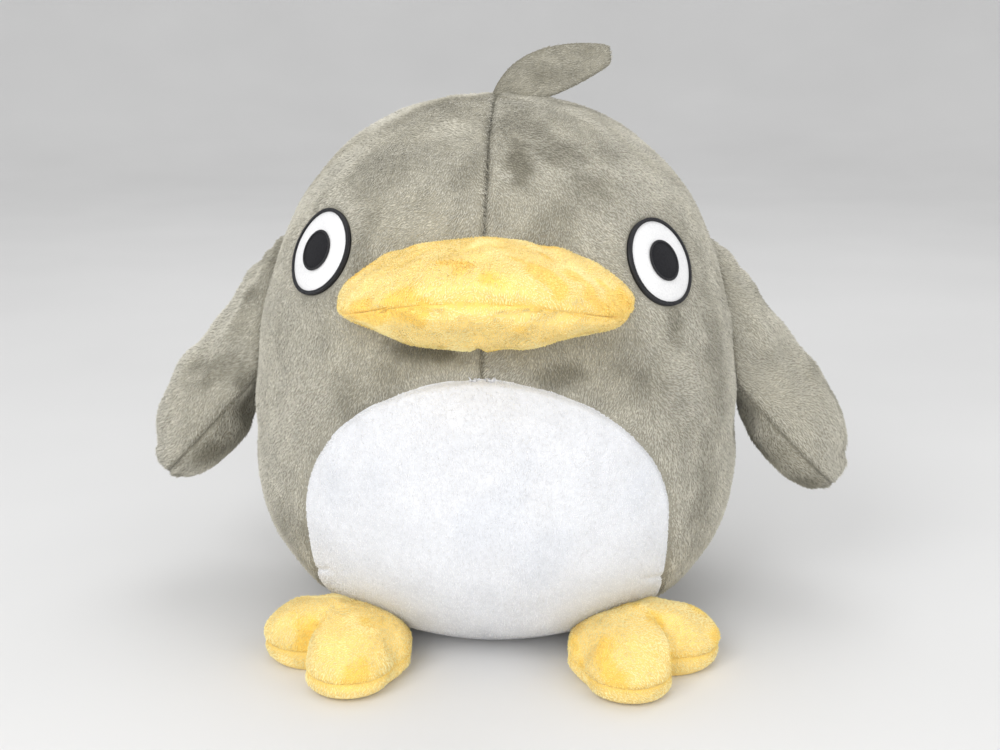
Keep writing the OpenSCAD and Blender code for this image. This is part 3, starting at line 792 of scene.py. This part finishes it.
def loftFaces(rings, sides):
    faces = [[0, 1 + j, 1 + (j + 1) % sides] for j in range(sides)]
    for i in range(rings - 1):
        for j in range(sides):
            a, b = 1 + i * sides + j, 1 + i * sides + (j + 1) % sides
            faces.append([a, a + sides, b + sides, b])
    last = 1 + rings * sides
    return faces + [[last, 1 + (rings - 1) * sides + (j + 1) % sides, 1 + (rings - 1) * sides + j]
                    for j in range(sides)]


def facingOut(verts, faces):  # a closed form's faces, flipped if they point inwards
    volume = 0
    for f in faces:
        a, b, c = verts[f[0]], verts[f[1]], verts[f[2]]
        volume += a @ np.cross(b, c)
        if len(f) == 4:
            volume += a @ np.cross(c, verts[f[3]])
    return faces if volume > 0 else flipAll(faces)


def loftPlaces(rings, sides):  # each point's column and ring
    return (np.concatenate([[0], np.tile(np.arange(sides), rings), [0]]),
            np.concatenate([[-1], np.repeat(np.arange(rings), sides), [rings]]))


def halfLoft(verts, rings, sides, start):  # the half of a loft from column start to start + sides / 2
    half = sides // 2
    columns = [(start + j) % sides for j in range(half + 1)]
    out = [verts[1 + i * sides + j] for i in range(rings) for j in columns] + [verts[1 + rings * sides]]
    uv = [(0.02 + 0.96 * j / half, 0.02 + 0.94 * i / rings) for i in range(rings) for j in range(half + 1)]
    wide = half + 1
    faces = [[i * wide + j, (i + 1) * wide + j, (i + 1) * wide + j + 1, i * wide + j + 1]
             for i in range(rings - 1) for j in range(half)]
    faces += [[(rings - 1) * wide + j, rings * wide, (rings - 1) * wide + j + 1] for j in range(half)]
    return np.array(out), faces, uv + [(0.5, 0.99)]


def spotOf(place, x, y, z):  # one point, by a function that places many
    return place(np.array([x]), np.array([y]), np.array([z]))[0]


fibreShare = 0.88  # a filling's size against its cover, before it is drawn in along its normals


def fillingOf(name, verts, faces, node, shrink, bodyName, blendTo=None):
    middle = verts.mean(0)
    mesh = meshOf(name, middle + (verts - middle) * fibreShare, faces)
    setCoords(mesh, coords(mesh) - normals(mesh) * shrink)
    ob = softObject(name, mesh, looseFibre)
    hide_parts(node)
    if blendTo is None:
        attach(ob, bodyName)
    else:
        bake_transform(ob)


# the beak

beak = dict(halfWidth=0.0705, out=0.058, up=0.0325, down=0.0160, seam=0.185, tilt=16, power=1.7, sink=0.003,
            rings=18, sides=48, close=0.9, seamTuck=0.0010, middle=(0, -0.135, 0.190), dart=0.0022,
            dartWidth=0.0020, crease=0.0005, creaseSize=0.022, thick=0.0015)
beakMarks = dict(size=0.028, fine=0.009, fineShare=0.3, low=0.35, high=1.0, strength=0.8)


def beakPoint(a, s):
    c, d = math.cos(a), math.sin(a)
    x0 = beak["halfWidth"] * math.copysign(abs(c) ** (2 / beak["power"]), c)
    tall = beak["up"] if d > 0 else beak["down"]
    z0 = tall * math.copysign(abs(d) ** (2 / beak["power"]), d)
    close = math.cos(s * math.pi / 2) ** beak["close"]
    root = onFront(x0, beak["seam"] + z0)[1] + beak["sink"]
    face = -halfAt(beak["seam"], body)
    tip = face - beak["out"]
    y = root + (tip - root) * math.sin(s * math.pi / 2)
    lift = max(0, (face - y)) * math.tan(math.radians(beak["tilt"]))
    return (x0 * close, y, beak["seam"] + z0 * close + lift * math.sin(s * math.pi / 2))


def makeBeak():
    rings, sides = beak["rings"], beak["sides"]
    verts = [(0, onFront(0, beak["seam"])[1] + beak["sink"] + 0.004, beak["seam"])]
    for i in range(rings):
        s = 0.985 * (i / (rings - 1)) ** 0.9
        verts += [beakPoint(fullTurn * j / sides, s) for j in range(sides)]
    verts = np.array(verts + [beakPoint(0, 1)])
    faces = facingOut(verts, loftFaces(rings, sides))
    column, ring = loftPlaces(rings, sides)
    held = (ring <= 0) | (column % (sides // 2) == 0) | (ring >= rings - 2)
    verts = stuff("beakCover", verts, faces, held, cap=0.0030)
    fillingOf("beakFibre", verts, faces, "beak_filling", 0.0012, "torso")

    def shape(p, n):
        dart = bell(p[:, 0], beak["dartWidth"]) * (1 - smooth(0.172, 0.182, p[:, 2]))
        dart = dart * smooth(0.125, 0.14, -p[:, 1]) * beak["dart"]
        creases = ripple(p * np.array([1.4, 0.7, 1]), beak["creaseSize"], 61) * beak["crease"]
        return p + n * (creases - dart)[:, None]

    def comb(p, n):
        way = np.stack([np.sign(p[:, 0]) * 0.25, -np.ones(len(p)), -0.35 * np.ones(len(p))], -1)
        return swirl(way, p, n, 0.7, 0.035, 62)

    def pile(p, n):
        return 0.85 + 0.2 * ripple(p, 0.015, 63)

    def brush(p, n):
        return blotches(p, beakMarks, (64, 65))

    for name, node, start, seed in (("beakUpperPlush", "beak_upper_panel", 0, 111),
                                    ("beakLowerPlush", "beak_lower_panel", sides // 2, 112)):
        v, f, uv = halfLoft(verts, rings, sides, start)
        f = turnedTo(v[f[5]].mean(0) - np.array([0, -0.13, 0.187]), v, f, 5)
        ob = clothPanel(name, v, f, uv, "yellow", seed, 2, beak["thick"], shape, comb, pile, brush, 1,
                        beak["seamTuck"], np.array(beak["middle"]))
        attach(ob, "torso")
        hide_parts(node)


makeBeak()
print("beak made")


# the flippers

flipper = dict(low=0.127, top=0.190, length=0.085, halfWidth=0.029, out=0.0425, inside=0.0165, hang=43,
               outPeak=0.235, widePeak=0.35, arch=2.2, sink=0.0012, rings=22, sides=48, seamTuck=0.0012,
               bendAt=0.018, bendFrom=0.020, bendTo=-0.050, crease=0.0006, creaseSize=0.026, fold=0.0007,
               foldReach=0.016, thick=0.0015)
flipperMarks = dict(size=0.045, fine=0.013, fineShare=0.35, low=0.35, high=1.1, strength=0.45)


def flipperHump(f, peak, reach):
    t = np.where(f > peak, (f - peak) / (1 - peak), (peak - f) / reach)
    return np.sqrt(np.maximum(0, 1 - np.abs(t) ** flipper["arch"]))


def flipperReach(a, f):
    over = flipper["out"] * flipperHump(f, flipper["outPeak"], 0.51)
    under = flipper["inside"] * np.sin(math.pi * np.clip(f, 0, 1) ** 1.45) ** 0.5
    wide = flipper["halfWidth"] * flipperHump(f, flipper["widePeak"], 0.8)
    return np.where(np.cos(a) > 0, over, under) * np.cos(a), wide * np.sin(a)


def flipperRoot(x, y):  # how far along the flipper the body's surface is
    h = math.radians(flipper["hang"])
    low = halfAt(flipper["low"], body) - flipper["sink"]
    z = np.zeros_like(x)
    for _ in range(16):
        height = flipper["low"] + x * math.sin(h) + z * math.cos(h)
        flank = np.sqrt(np.maximum((fullness(height, body) - flipper["sink"]) ** 2 - y ** 2, 0))
        z = (x * math.cos(h) + low - flank) / math.sin(h)
    return z


def makeFlipper(side):
    rings, sides = flipper["rings"], flipper["sides"]
    h = math.radians(flipper["hang"])
    a = fullTurn * np.arange(sides) / sides
    rootX, rootY = flipperReach(a, np.zeros(sides))
    rootZ = flipperRoot(rootX, rootY)
    low = halfAt(flipper["low"], body) - flipper["sink"]

    def place(x, y, z):
        out = low + x * math.cos(h) - z * math.sin(h)
        return np.stack([side * out, y, flipper["low"] + x * math.sin(h) + z * math.cos(h)], -1)

    middle = np.array([rootX.max() / 2])
    verts = [place(middle, np.array([0.0]), flipperRoot(middle, np.array([0.0])))]
    for i in range(rings):
        f = 0.975 * math.sin(math.pi / 2 * i / (rings - 1))
        x, y = flipperReach(a, np.full(sides, f))
        verts.append(place(x, y, rootZ * (1 - f) - flipper["length"] * f))
    verts.append(spotOf(place, 0.0, 0.0, -0.985 * flipper["length"]))
    verts = np.vstack(verts)
    faces = facingOut(verts, loftFaces(rings, sides))
    column, ring = loftPlaces(rings, sides)
    held = (ring <= 0) | (column % (sides // 2) == sides // 4) | (ring >= rings - 1)
    label = "leftFlipper" if side > 0 else "rightFlipper"
    bodyName = "left_flipper" if side > 0 else "right_flipper"
    verts = stuff(label + "Cover", verts, faces, held, verts[-1], spare=0.035)
    start = tuple(spotOf(place, flipper["bendAt"], 0.0, flipper["bendFrom"]))
    end = tuple(spotOf(place, flipper["bendAt"], 0.0, flipper["bendTo"]))
    fillingOf(label + "Fibre", verts, faces, bodyName + "_filling", 0.0012, bodyName, (start, end))
    centre = verts.mean(0)

    def shape(p, n):
        creases = ripple(p * np.array([1.0, 0.7, 1.3]), flipper["creaseSize"], 71 + side) * flipper["crease"]
        top = bell(p[:, 2] - flipper["top"], flipper["foldReach"])
        creases = creases + np.sin(p[:, 2] * 700 + ripple(p, 0.03, 72) * 2) * flipper["fold"] * top
        return p + n * creases[:, None]

    def comb(p, n):
        return swirl(everywhere(p, [side * math.sin(h), 0.0, -math.cos(h)]), p, n, 0.55, 0.05, 73 + side)

    def brush(p, n):
        return blotches(p, flipperMarks, (75 + side, 76))

    # the inner panel, turned to the body and down, darkened all over as painted shade, a little uneven
    def innerShade(p, n):
        return np.clip(0.45 + 0.3 * ripple(p, 0.03, 77 + side), 0, 0.8)

    for part, first, marks, seed in (("outer", 3 * sides // 4, brush, 121), ("inner", sides // 4, innerShade, 123)):
        v, f, uv = halfLoft(verts, rings, sides, first)
        mid = len(f) // 2
        f = turnedTo(v[f[mid]].mean(0) - centre, v, f, mid)
        ob = clothPanel(label + part.capitalize() + "Plush", v, f, uv, "grey", seed + side, 2, flipper["thick"],
                        shape, comb, None, marks, 1, flipper["seamTuck"], centre)
        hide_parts(bodyName + "_" + part + "_panel")
        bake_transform(ob)


for side in (-1, 1):
    makeFlipper(side)
print("flippers made")


# the feet

foot = dict(length=0.063, toe=0.0205, apart=0.0215, height=0.031, heelWide=0.034, heelLong=0.026, seamShare=0.34,
            turn=32, splay=53, flat=0.8, merge=10, uneven=2.5, sides=56, rings=12, rootGap=0.002, sink=0.0015,
            seamTuck=0.0008, tucked=0.112, bendTo=0.022, crease=0.0005, creaseSize=0.020, thick=0.0014)
foot["seam"] = foot["height"] * foot["seamShare"]
foot["mid"] = foot["length"] - foot["toe"] - 0.008
foot["root"] = halfAt(foot["seam"], body) + foot["rootGap"]
footMarks = dict(size=0.024, fine=0.009, fineShare=0.3, low=0.30, high=1.0, strength=0.85)


def circleRay(a, cx, cy, r):
    along = cx * np.cos(a) + cy * np.sin(a)
    off = cx * cx + cy * cy - along ** 2
    return np.where(off < r * r, np.maximum(0.0001, along + np.sqrt(np.maximum(r * r - off, 0))), 0.0001)


def heelRay(a):  # to the edge of an oval heel, wider than it is long
    wide, long = foot["heelWide"], foot["heelLong"]
    cy = long - foot["mid"]
    square = (np.cos(a) / wide) ** 2 + (np.sin(a) / long) ** 2
    cross = cy * np.sin(a) / long ** 2
    return (cross + np.sqrt(cross ** 2 - square * ((cy / long) ** 2 - 1))) / square


def footReach(a):
    y = foot["length"] - foot["toe"] - foot["mid"]
    parts = [circleRay(a, foot["apart"], y, foot["toe"]), circleRay(a, -foot["apart"], y, foot["toe"]), heelRay(a)]
    return sum((p * 1000) ** foot["merge"] for p in parts) ** (1 / foot["merge"]) / 1000


def makeFoot(side):
    sides, rings = foot["sides"], foot["rings"]
    a = fullTurn * np.arange(sides) / sides
    reach = footReach(a)
    t = math.radians(foot["splay"] - foot["turn"] + 180)
    r = math.radians(foot["turn"] - (foot["uneven"] if side < 0 else 0))  # the right foot is sewn further round

    def place(x, y, z):
        x1, y1 = x * math.cos(t) - y * math.sin(t), x * math.sin(t) + y * math.cos(t) - foot["root"]
        return np.stack([side * (x1 * math.cos(r) - y1 * math.sin(r)), x1 * math.sin(r) + y1 * math.cos(r), z], -1)

    def top(s):
        p = place(reach * s * np.cos(a), foot["mid"] + reach * s * np.sin(a), np.zeros(sides))
        far = np.hypot(p[:, 0], p[:, 1]) / body["halfWidth"]
        power = body["lowPower"]
        under = np.where(far < 0.99, body["widest"] - body["lowReach"]
                         * np.maximum(0, 1 - np.minimum(far, 0.99) ** power) ** (1 / power), 1)
        dome = (foot["height"] - foot["seam"]) * max(0, 1 - s ** 2.5) ** 0.5
        room = np.maximum(under + foot["sink"] - foot["seam"], 0.001)
        p[:, 2] = foot["seam"] + np.minimum(dome, room)
        return p

    def bottom(s):
        p = place(reach * s * np.cos(a), foot["mid"] + reach * s * np.sin(a), np.zeros(sides))
        p[:, 2] = foot["seam"] * (1 - max(0, 1 - (max(0, s - foot["flat"]) / (1 - foot["flat"])) ** 2) ** 0.5)
        return p

    shares = [math.sin(math.pi / 2 * i / rings) for i in range(1, rings + 1)]
    middle = spotOf(place, 0.0, foot["mid"], foot["height"])
    under = middle * np.array([1, 1, 0])
    verts = np.vstack([middle] + [top(s) for s in shares] + [bottom(s) for s in shares[-2::-1]] + [under])
    total = 2 * rings - 1
    faces = facingOut(verts, loftFaces(total, sides))
    ring = loftPlaces(total, sides)[1]
    label = "leftFoot" if side > 0 else "rightFoot"
    bodyName = "left_foot" if side > 0 else "right_foot"
    tucked = np.hypot(verts[:, 0], verts[:, 1]) < foot["tucked"]
    verts = stuff(label + "Cover", verts, faces, (ring == rings - 1) | (verts[:, 2] < 0.001) | tucked)
    verts[:, 2] = np.maximum(verts[:, 2], 0)
    root = tuple(spotOf(place, 0.0, 0.0, foot["seam"]))
    past = tuple(spotOf(place, 0.0, foot["bendTo"], foot["seam"]))
    fillingOf(label + "Fibre", verts, faces, bodyName + "_filling", 0.0010, bodyName, (root, past))
    out = unit(spotOf(place, 0.0, 1.0, 0.0) - spotOf(place, 0.0, 0.0, 0.0))

    def piece(fromRing, toRing, pole):
        rows = range(fromRing, toRing + 1)
        v = np.array([verts[1 + i * sides + j] for i in rows for j in range(sides)] + [verts[pole]])
        k = len(rows)
        f = [[i * sides + j, i * sides + (j + 1) % sides, (i + 1) * sides + (j + 1) % sides, (i + 1) * sides + j]
             for i in range(k - 1) for j in range(sides)]
        edge = 0 if pole == 0 else (k - 1) * sides
        fan = [[edge + j, len(v) - 1, edge + (j + 1) % sides] for j in range(sides)]
        f += fan if pole == 0 else flipAll(fan)
        return v, f, (v[:, :2] - v.mean(0)[:2]) / 0.11 + 0.5

    def shape(p, n):
        creases = ripple(p, foot["creaseSize"], 81 + side) * foot["crease"] * smooth(0.002, 0.008, p[:, 2])
        p = p + n * creases[:, None]
        p[:, 2] = np.maximum(p[:, 2], 0)
        return p

    def comb(p, n):
        return swirl(everywhere(p, out) + np.array([0, 0, -0.4]), p, n, 0.7, 0.030, 83 + side)

    def pile(p, n):
        return smooth(0.0016, 0.005, p[:, 2]) * (0.9 + 0.15 * ripple(p, 0.015, 85))

    def brush(p, n):
        return blotches(p, footMarks, (87 + side, 88))

    for part, node, fromRing, toRing, pole, marks, seed, up in (
            ("TopPlush", "_top_panel", 0, rings - 1, 0, brush, 131, 1),
            ("SolePlush", "_sole", rings - 1, total - 1, len(verts) - 1, None, 133, -1)):
        v, f, uv = piece(fromRing, toRing, pole)
        f = turnedTo(np.array([0, 0, up]), v, f, len(f) // 3)
        ob = clothPanel(label + part, v, f, uv, "yellow", seed + side, 1, foot["thick"], shape, comb, pile, marks,
                        1, foot["seamTuck"], middle * np.array([1, 1, 0.34]))
        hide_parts(bodyName + node)
        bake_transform(ob)


for side in (-1, 1):
    makeFoot(side)
print("feet made")


# the tuft on the crown

tuft = dict(root=0.028, startX=-0.004, lean=0.060, rise=0.019, thick=0.0040, y=0.005, sink=0.0015, rings=22,
            sides=32, rootShare=0.45, cup=0.0045, drift=0.004, seamTuck=0.0006, bendX=0.010, bendFrom=0.001,
            bendTo=0.009, crease=0.0004, clothThick=0.0010)


def bend(p, q, r, u):
    return (1 - u) ** 2 * p + 2 * u * (1 - u) * q + u * u * r


def makeTuft():
    z = body["top"] - tuft["sink"]
    tip = np.array([tuft["lean"], 0, body["top"] + 0.0024 + tuft["rise"] - 0.002])
    startX = tuft["startX"]
    back = [np.array([startX, 0, z]), np.array([startX + 0.012, 0, z + tuft["rise"] + 0.015]), tip + [0, 0, 0.0065]]
    belly = [np.array([startX + tuft["root"], 0, z - 0.001]),
             np.array([startX + tuft["root"] + 0.015, 0, z + 0.003]), tip - [0, 0, 0.0035]]
    rings, sides = tuft["rings"], tuft["sides"]
    a = fullTurn * np.arange(sides) / sides
    verts = []
    for i in range(rings):
        u = 0.985 * i / (rings - 1)
        upper, lower = bend(*back, u), bend(*belly, u)
        thick = tuft["thick"] * (tuft["rootShare"] + (1 - tuft["rootShare"]) * math.sin(math.pi * u ** 0.8))
        ring = (upper + lower) / 2 + (upper - lower) / 2 * np.cos(a)[:, None]
        ring[:, 1] += tuft["y"] - thick * np.sin(a) + tuft["cup"] * math.sin(math.pi * u) * (1 - np.cos(a) ** 2)
        ring[:, 1] += tuft["drift"] * u * u
        verts.append(ring)
    verts = np.vstack([[verts[0].mean(0) - [0, 0, 0.001]]] + verts + [[verts[-1].mean(0) + [0.0008, 0, 0]]])
    faces = facingOut(verts, loftFaces(rings, sides))
    root = (tuft["bendX"], tuft["y"], body["top"] + tuft["bendFrom"])
    past = (tuft["bendX"], tuft["y"], body["top"] + tuft["bendTo"])
    thin = np.array(verts)
    for i in range(rings):
        ring = verts[1 + i * sides:1 + (i + 1) * sides]
        thin[1 + i * sides:1 + (i + 1) * sides] = ring.mean(0) + (ring - ring.mean(0)) * np.array([0.85, 0.45, 0.85])
    fillingOf("tuftFibre", thin, faces, "tuft_wadding", 0, "tuft", (root, past))

    def shape(p, n):
        return p + n * (ripple(p, 0.016, 91) * tuft["crease"])[:, None]

    def comb(p, n):
        return swirl(everywhere(p, [1.0, 0, 0.25]), p, n, 0.4, 0.03, 92)

    def brush(p, n):
        # painted shade along the tuft's concave fold, with a little uneven tone besides
        fold = bell(p[:, 2] - z - 0.010 - 0.16 * (p[:, 0] - 0.02), 0.0045) * smooth(0.012, 0.022, p[:, 0])
        return np.clip(0.32 * fold * (1 - smooth(0.045, 0.056, p[:, 0])) + 0.12 * ripple(p, 0.022, 93), 0, 1)

    for name, node, first, seed, way in (("tuftFrontPlush", "tuft_front_panel", 0, 141, -1),
                                         ("tuftBackPlush", "tuft_back_panel", sides // 2, 142, 1)):
        v, f, uv = halfLoft(verts, rings, sides, first)
        f = turnedTo(np.array([0, way, 0]), v, f, len(f) // 2)
        ob = clothPanel(name, v, f, uv, "grey", seed, 1, tuft["clothThick"], shape, comb, None, brush, 1,
                        tuft["seamTuck"], verts.mean(0))
        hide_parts(node)
        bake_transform(ob)


makeTuft()
print("tuft made")


# the eyes: layers of cloth with satin stitching

def stitchTree():
    tree, source = newTree("satinStitches", [("Thread", "Float"), ("Seed", "Int"), ("Material", "Material")])
    points = addNode(tree, "GeometryNodeMeshToPoints", {"Mesh": source["Geometry"]})
    strand = addNode(tree, "GeometryNodeMeshUVSphere", {"Segments": 6, "Rings": 6, "Radius": 1})
    length = maths(tree, "MULTIPLY", named(tree, "reach"), varied(tree, 0.92, 1.08, source["Seed"]))
    real = planted(tree, points.outputs[0], strand.outputs["Mesh"], named(tree, "run", "FLOAT_VECTOR"),
                   source["Thread"], length)
    soft = addNode(tree, "GeometryNodeSetShadeSmooth", {"Geometry": real})
    return dressed(tree, soft.outputs[0], source["Material"])


stitchNodes = stitchTree()


def stitches(name, spots, runs, reaches, thread, material, seed):
    mesh = meshOf(name, spots, [])
    addAttribute(mesh, "run", "FLOAT_VECTOR", runs)
    addAttribute(mesh, "reach", "FLOAT", reaches)
    return applyTree(objectOf(name, mesh), "stitches", stitchNodes,
                     dict(Thread=thread, Seed=seed, Material=material))


def eyeSpot(frameOf, r, a, lift):
    centre, out, across, up = frameOf
    at = centre + across * (r * math.cos(a)) + up * (r * math.sin(a))
    return hitBody(at + out * 0.03, -out) + out * lift


def eyeDisc(name, frameOf, outer, inner, low, high, crown, material, nodeName, rings=8, sides=72):
    radii = np.linspace(outer, inner, rings + 1)
    if inner == 0:
        radii = outer * np.sin(np.linspace(1, 0, rings + 1) * math.pi / 2)[:-1]

    def ringAt(r, lift):
        return [eyeSpot(frameOf, r, fullTurn * j / sides, lift) for j in range(sides)]

    def band(a, b):  # the faces between the rings that start at points a and b
        return [[a + j, a + (j + 1) % sides, b + (j + 1) % sides, b + j] for j in range(sides)]

    verts, faces = [], []
    for r in radii:
        t = 2 * (r - inner) / (outer - inner) - 1 if inner > 0 else r / outer
        verts += ringAt(r, high + crown * (1 - t * t))
    for i in range(len(radii) - 1):
        faces += band(i * sides, (i + 1) * sides)
    edge, base = (len(radii) - 1) * sides, len(verts)
    verts += ringAt(radii[0], low)
    faces += band(base, 0)
    if inner > 0:
        verts += ringAt(radii[-1], low)
        faces += band(edge, base + sides) + band(base + sides, base)
    else:
        top = len(verts)
        verts += [eyeSpot(frameOf, 0, 0, high + crown), eyeSpot(frameOf, 0, 0, low)]
        faces += [[edge + j, edge + (j + 1) % sides, top] for j in range(sides)]
        faces += [[base + (j + 1) % sides, base + j, top + 1] for j in range(sides)]
    verts = np.array(verts)
    ob = softObject(name, meshOf(name, verts, turnedTo(frameOf[1], verts, faces)), material)
    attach(ob, "torso")
    if nodeName:
        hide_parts(nodeName)


def satinRing(name, frameOf, inner, outer, count, lift, seed, nodeName):
    spots, runs, reaches = [], [], []
    rng = np.random.default_rng(seed)
    lean = eyes["slant"] * (outer - inner) / inner
    for k in range(count):
        a = fullTurn * (k + 0.25 * rng.random()) / count
        p = eyeSpot(frameOf, inner, a - lean, lift)
        q = eyeSpot(frameOf, outer, a + lean, lift)
        spots.append((p + q) / 2)
        runs.append(unit(q - p))
        reaches.append(np.linalg.norm(q - p) / 2 * 1.06)
    ob = stitches(name, spots, runs, reaches, eyes["thread"], blackThread, seed)
    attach(ob, "torso")
    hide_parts(nodeName)


def makeEye(side):
    label = "leftEye" if side > 0 else "rightEye"
    node = "left_" if side > 0 else "right_"
    at = eyeFrames[side]
    r, rim, pupil = eyes["radius"], eyes["rim"], eyes["pupil"]
    eyeDisc(label + "White", at, r - rim * 0.6, 0, -0.0006, 0.0004, 0.0005, whiteFelt,
            node + "eye_white")
    eyeDisc(label + "RimBase", at, r - 0.0001, r - rim + 0.0001, -0.0008, 0.0004, 0.0006, blackThread,
            None, 4)
    satinRing(label + "RimStitches", at, r - rim, r, eyes["stitches"], 0.0011, 151 + side,
              node + "eye_rim")
    eyeDisc(label + "Pupil", at, pupil - 0.0005, 0, 0.0002, 0.0012, 0.0004, pupilFelt,
            node + "pupil", 6, 48)
    satinRing(label + "PupilStitches", at, pupil - eyes["pupilRim"], pupil, eyes["pupilStitches"], 0.0015,
              161 + side, node + "pupil_edge")


for side in (-1, 1):
    makeEye(side)
print("eyes made")


# the label and the closing seam at the back

careLabel = dict(width=0.018, length=0.024, turn=38, rise=22, layer=0.00035, gap=0.0005, curl=0.0012, wave=0.0005,
                 steps=16, bendSteps=6, across=10)


def makeLabel():
    t = math.radians(careLabel["turn"])
    up = math.radians(careLabel["rise"])
    out = np.array([math.sin(t), math.cos(t), 0.0])
    across = np.array([math.cos(t), -math.sin(t), 0.0])
    way = out * math.cos(up) + np.array([0, 0, math.sin(up)])
    high = np.cross(across, way)
    high = high if high[2] > 0 else -high
    start = out * (halfAt(body["baseSeam"], body) - 0.001) + np.array([0, 0, body["baseSeam"]])
    length, gap = careLabel["length"], careLabel["gap"]
    steps, bendSteps, wide = careLabel["steps"], careLabel["bendSteps"], careLabel["across"]
    line = [(length * i / steps, -gap) for i in range(steps + 1)]  # the folded tape's middle line
    bends = [math.pi * i / bendSteps for i in range(1, bendSteps)]
    line += [(length + gap * math.sin(b), -gap * math.cos(b)) for b in bends]
    line = np.array(line + [(length * i / steps, gap) for i in range(steps, -1, -1)])
    slope = unit(np.gradient(line, axis=0))
    normal = np.stack([-slope[:, 1], slope[:, 0]], -1)
    verts = []
    for layer in (1, -1):
        for (x, z), (nx, nz) in zip(line, normal):
            for j in range(wide + 1):
                s = j / wide - 0.5
                curl = careLabel["curl"] * math.sin(x / length * 2.2) + careLabel["wave"] * math.sin(s * 5 + x * 120)
                px = x + nx * layer * careLabel["layer"] / 2
                pz = z + nz * layer * careLabel["layer"] / 2 + curl
                verts.append(start + way * px + high * pz + across * s * careLabel["width"])
    count, w = len(line), wide + 1
    size = count * w
    faces = []
    for i in range(count - 1):
        for a in range(i * w, i * w + wide):
            faces.append([a, a + 1, a + w + 1, a + w])
            faces.append([size + a, size + a + w, size + a + w + 1, size + a + 1])
        a, b = i * w, i * w + wide
        faces.append([a, a + w, size + a + w, size + a])
        faces.append([b, size + b, size + b + w, b + w])
    for j in range(wide):
        faces.append([j, size + j, size + j + 1, j + 1])
        a = (count - 1) * w + j
        faces.append([a, a + 1, size + a + 1, size + a])
    verts = np.array(verts)
    faces = facingOut(verts - verts.mean(0), faces)
    ob = softObject("careLabel", meshOf("careLabel", verts, faces), labelSatin)
    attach(ob, "torso")
    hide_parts("care_label")


makeLabel()

closing = dict(count=10, first=0.042, pitch=0.006, reach=0.0025, thread=0.00045, lean=0.21, lift=0.0004)


def closingSeam():
    spots, runs = [], []
    for i in range(closing["count"]):
        lean = closing["lean"] if i % 2 == 0 else -closing["lean"]
        spot = hitBody((0, 0.4, closing["first"] + closing["pitch"] * i), (0, -1, 0))
        spots.append(spot + np.array([0, closing["lift"], 0]))
        runs.append((math.cos(lean), 0, math.sin(lean)))
    reaches = [closing["reach"]] * closing["count"]
    ob = stitches("closingStitches", spots, runs, reaches, closing["thread"], greyThread, 171)
    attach(ob, "torso")
    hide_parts("closing_stitches")


closingSeam()

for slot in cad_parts["body_filling"].material_slots:
    slot.material = looseFibre


# floor, lights and camera

studio = dict(flat=1.9, bend=1.3, wall=1.5, sides=64, steps=10, glow=0.70)


def studioFloor():  # a round floor that turns up into a low wall all round
    flat, up, k = studio["flat"], studio["bend"], studio["sides"]
    turns = [math.pi / 2 * i / studio["steps"] for i in range(1, studio["steps"] + 1)]
    line = [(flat, 0.0)] + [(flat + up * math.sin(t), up * (1 - math.cos(t))) for t in turns]
    line.append((flat + up, studio["wall"]))
    verts = [(r * math.cos(fullTurn * j / k), r * math.sin(fullTurn * j / k), z) for r, z in line for j in range(k)]
    faces = [[i * k + j, i * k + (j + 1) % k, (i + 1) * k + (j + 1) % k, (i + 1) * k + j][::-1]
             for i in range(len(line) - 1) for j in range(k)]
    faces += [[len(verts), j, (j + 1) % k] for j in range(k)]
    mat, tree, place = newMaterial("paleFloor")
    shade = ramp(tree, noise(tree, place, 3, 2), 0.3, (0.74, 0.74, 0.74), 0.7, (0.78, 0.78, 0.78))
    surface(tree, {"Base Color": shade, "Roughness": 0.9})
    return softObject("floor", meshOf("floor", verts + [(0, 0, 0)], faces), mat)


studioFloor()

world = bpy.data.worlds.new("studio")
world.use_nodes = True
world.node_tree.nodes["Background"].inputs[0].default_value = (1.0, 1.0, 1.0, 1)
world.node_tree.nodes["Background"].inputs[1].default_value = studio["glow"]
scene.world = world

lights = {  # place, target height, size, power
    "keyLight": ((-0.65, -1.20, 1.05), 0.14, 0.9, 11),
    "fillLight": ((1.1, -0.9, 0.6), 0.12, 1.0, 4.6),
    "frontLight": ((0.0, -1.55, 0.35), 0.13, 1.0, 4.8),
    "topLight": ((0.1, 0.4, 1.4), 0.15, 1.0, 4),
}
for name, (place, height, size, power) in lights.items():
    data = bpy.data.lights.new(name, "AREA")
    data.shape, data.size, data.energy = "SQUARE", size, power
    lamp = bpy.data.objects.new(name, data)
    lamp.location = place
    lamp.rotation_euler = (Vector((0, 0, height)) - Vector(place)).to_track_quat("-Z", "Y").to_euler()
    lamp.visible_camera = False
    scene.collection.objects.link(lamp)

view = dict(distance=0.75, elevation=14.0, azimuth=3.2, target=(0, 0, 0.14), lens=49.43, shiftX=0.003, shiftY=-0.029)
e, a = math.radians(view["elevation"]), math.radians(view["azimuth"])
back = Vector((math.cos(e) * math.sin(a), -math.cos(e) * math.cos(a), math.sin(e)))
camera = bpy.data.objects.new("camera", bpy.data.cameras.new("camera"))
camera.data.lens, camera.data.sensor_width = view["lens"], 36
camera.data.shift_x, camera.data.shift_y = view["shiftX"], view["shiftY"]
camera.data.clip_start = 0.05
camera.location = Vector(view["target"]) + back * view["distance"]
camera.rotation_euler = back.to_track_quat("Z", "Y").to_euler()
scene.collection.objects.link(camera)
scene.camera = camera
print("stage made")
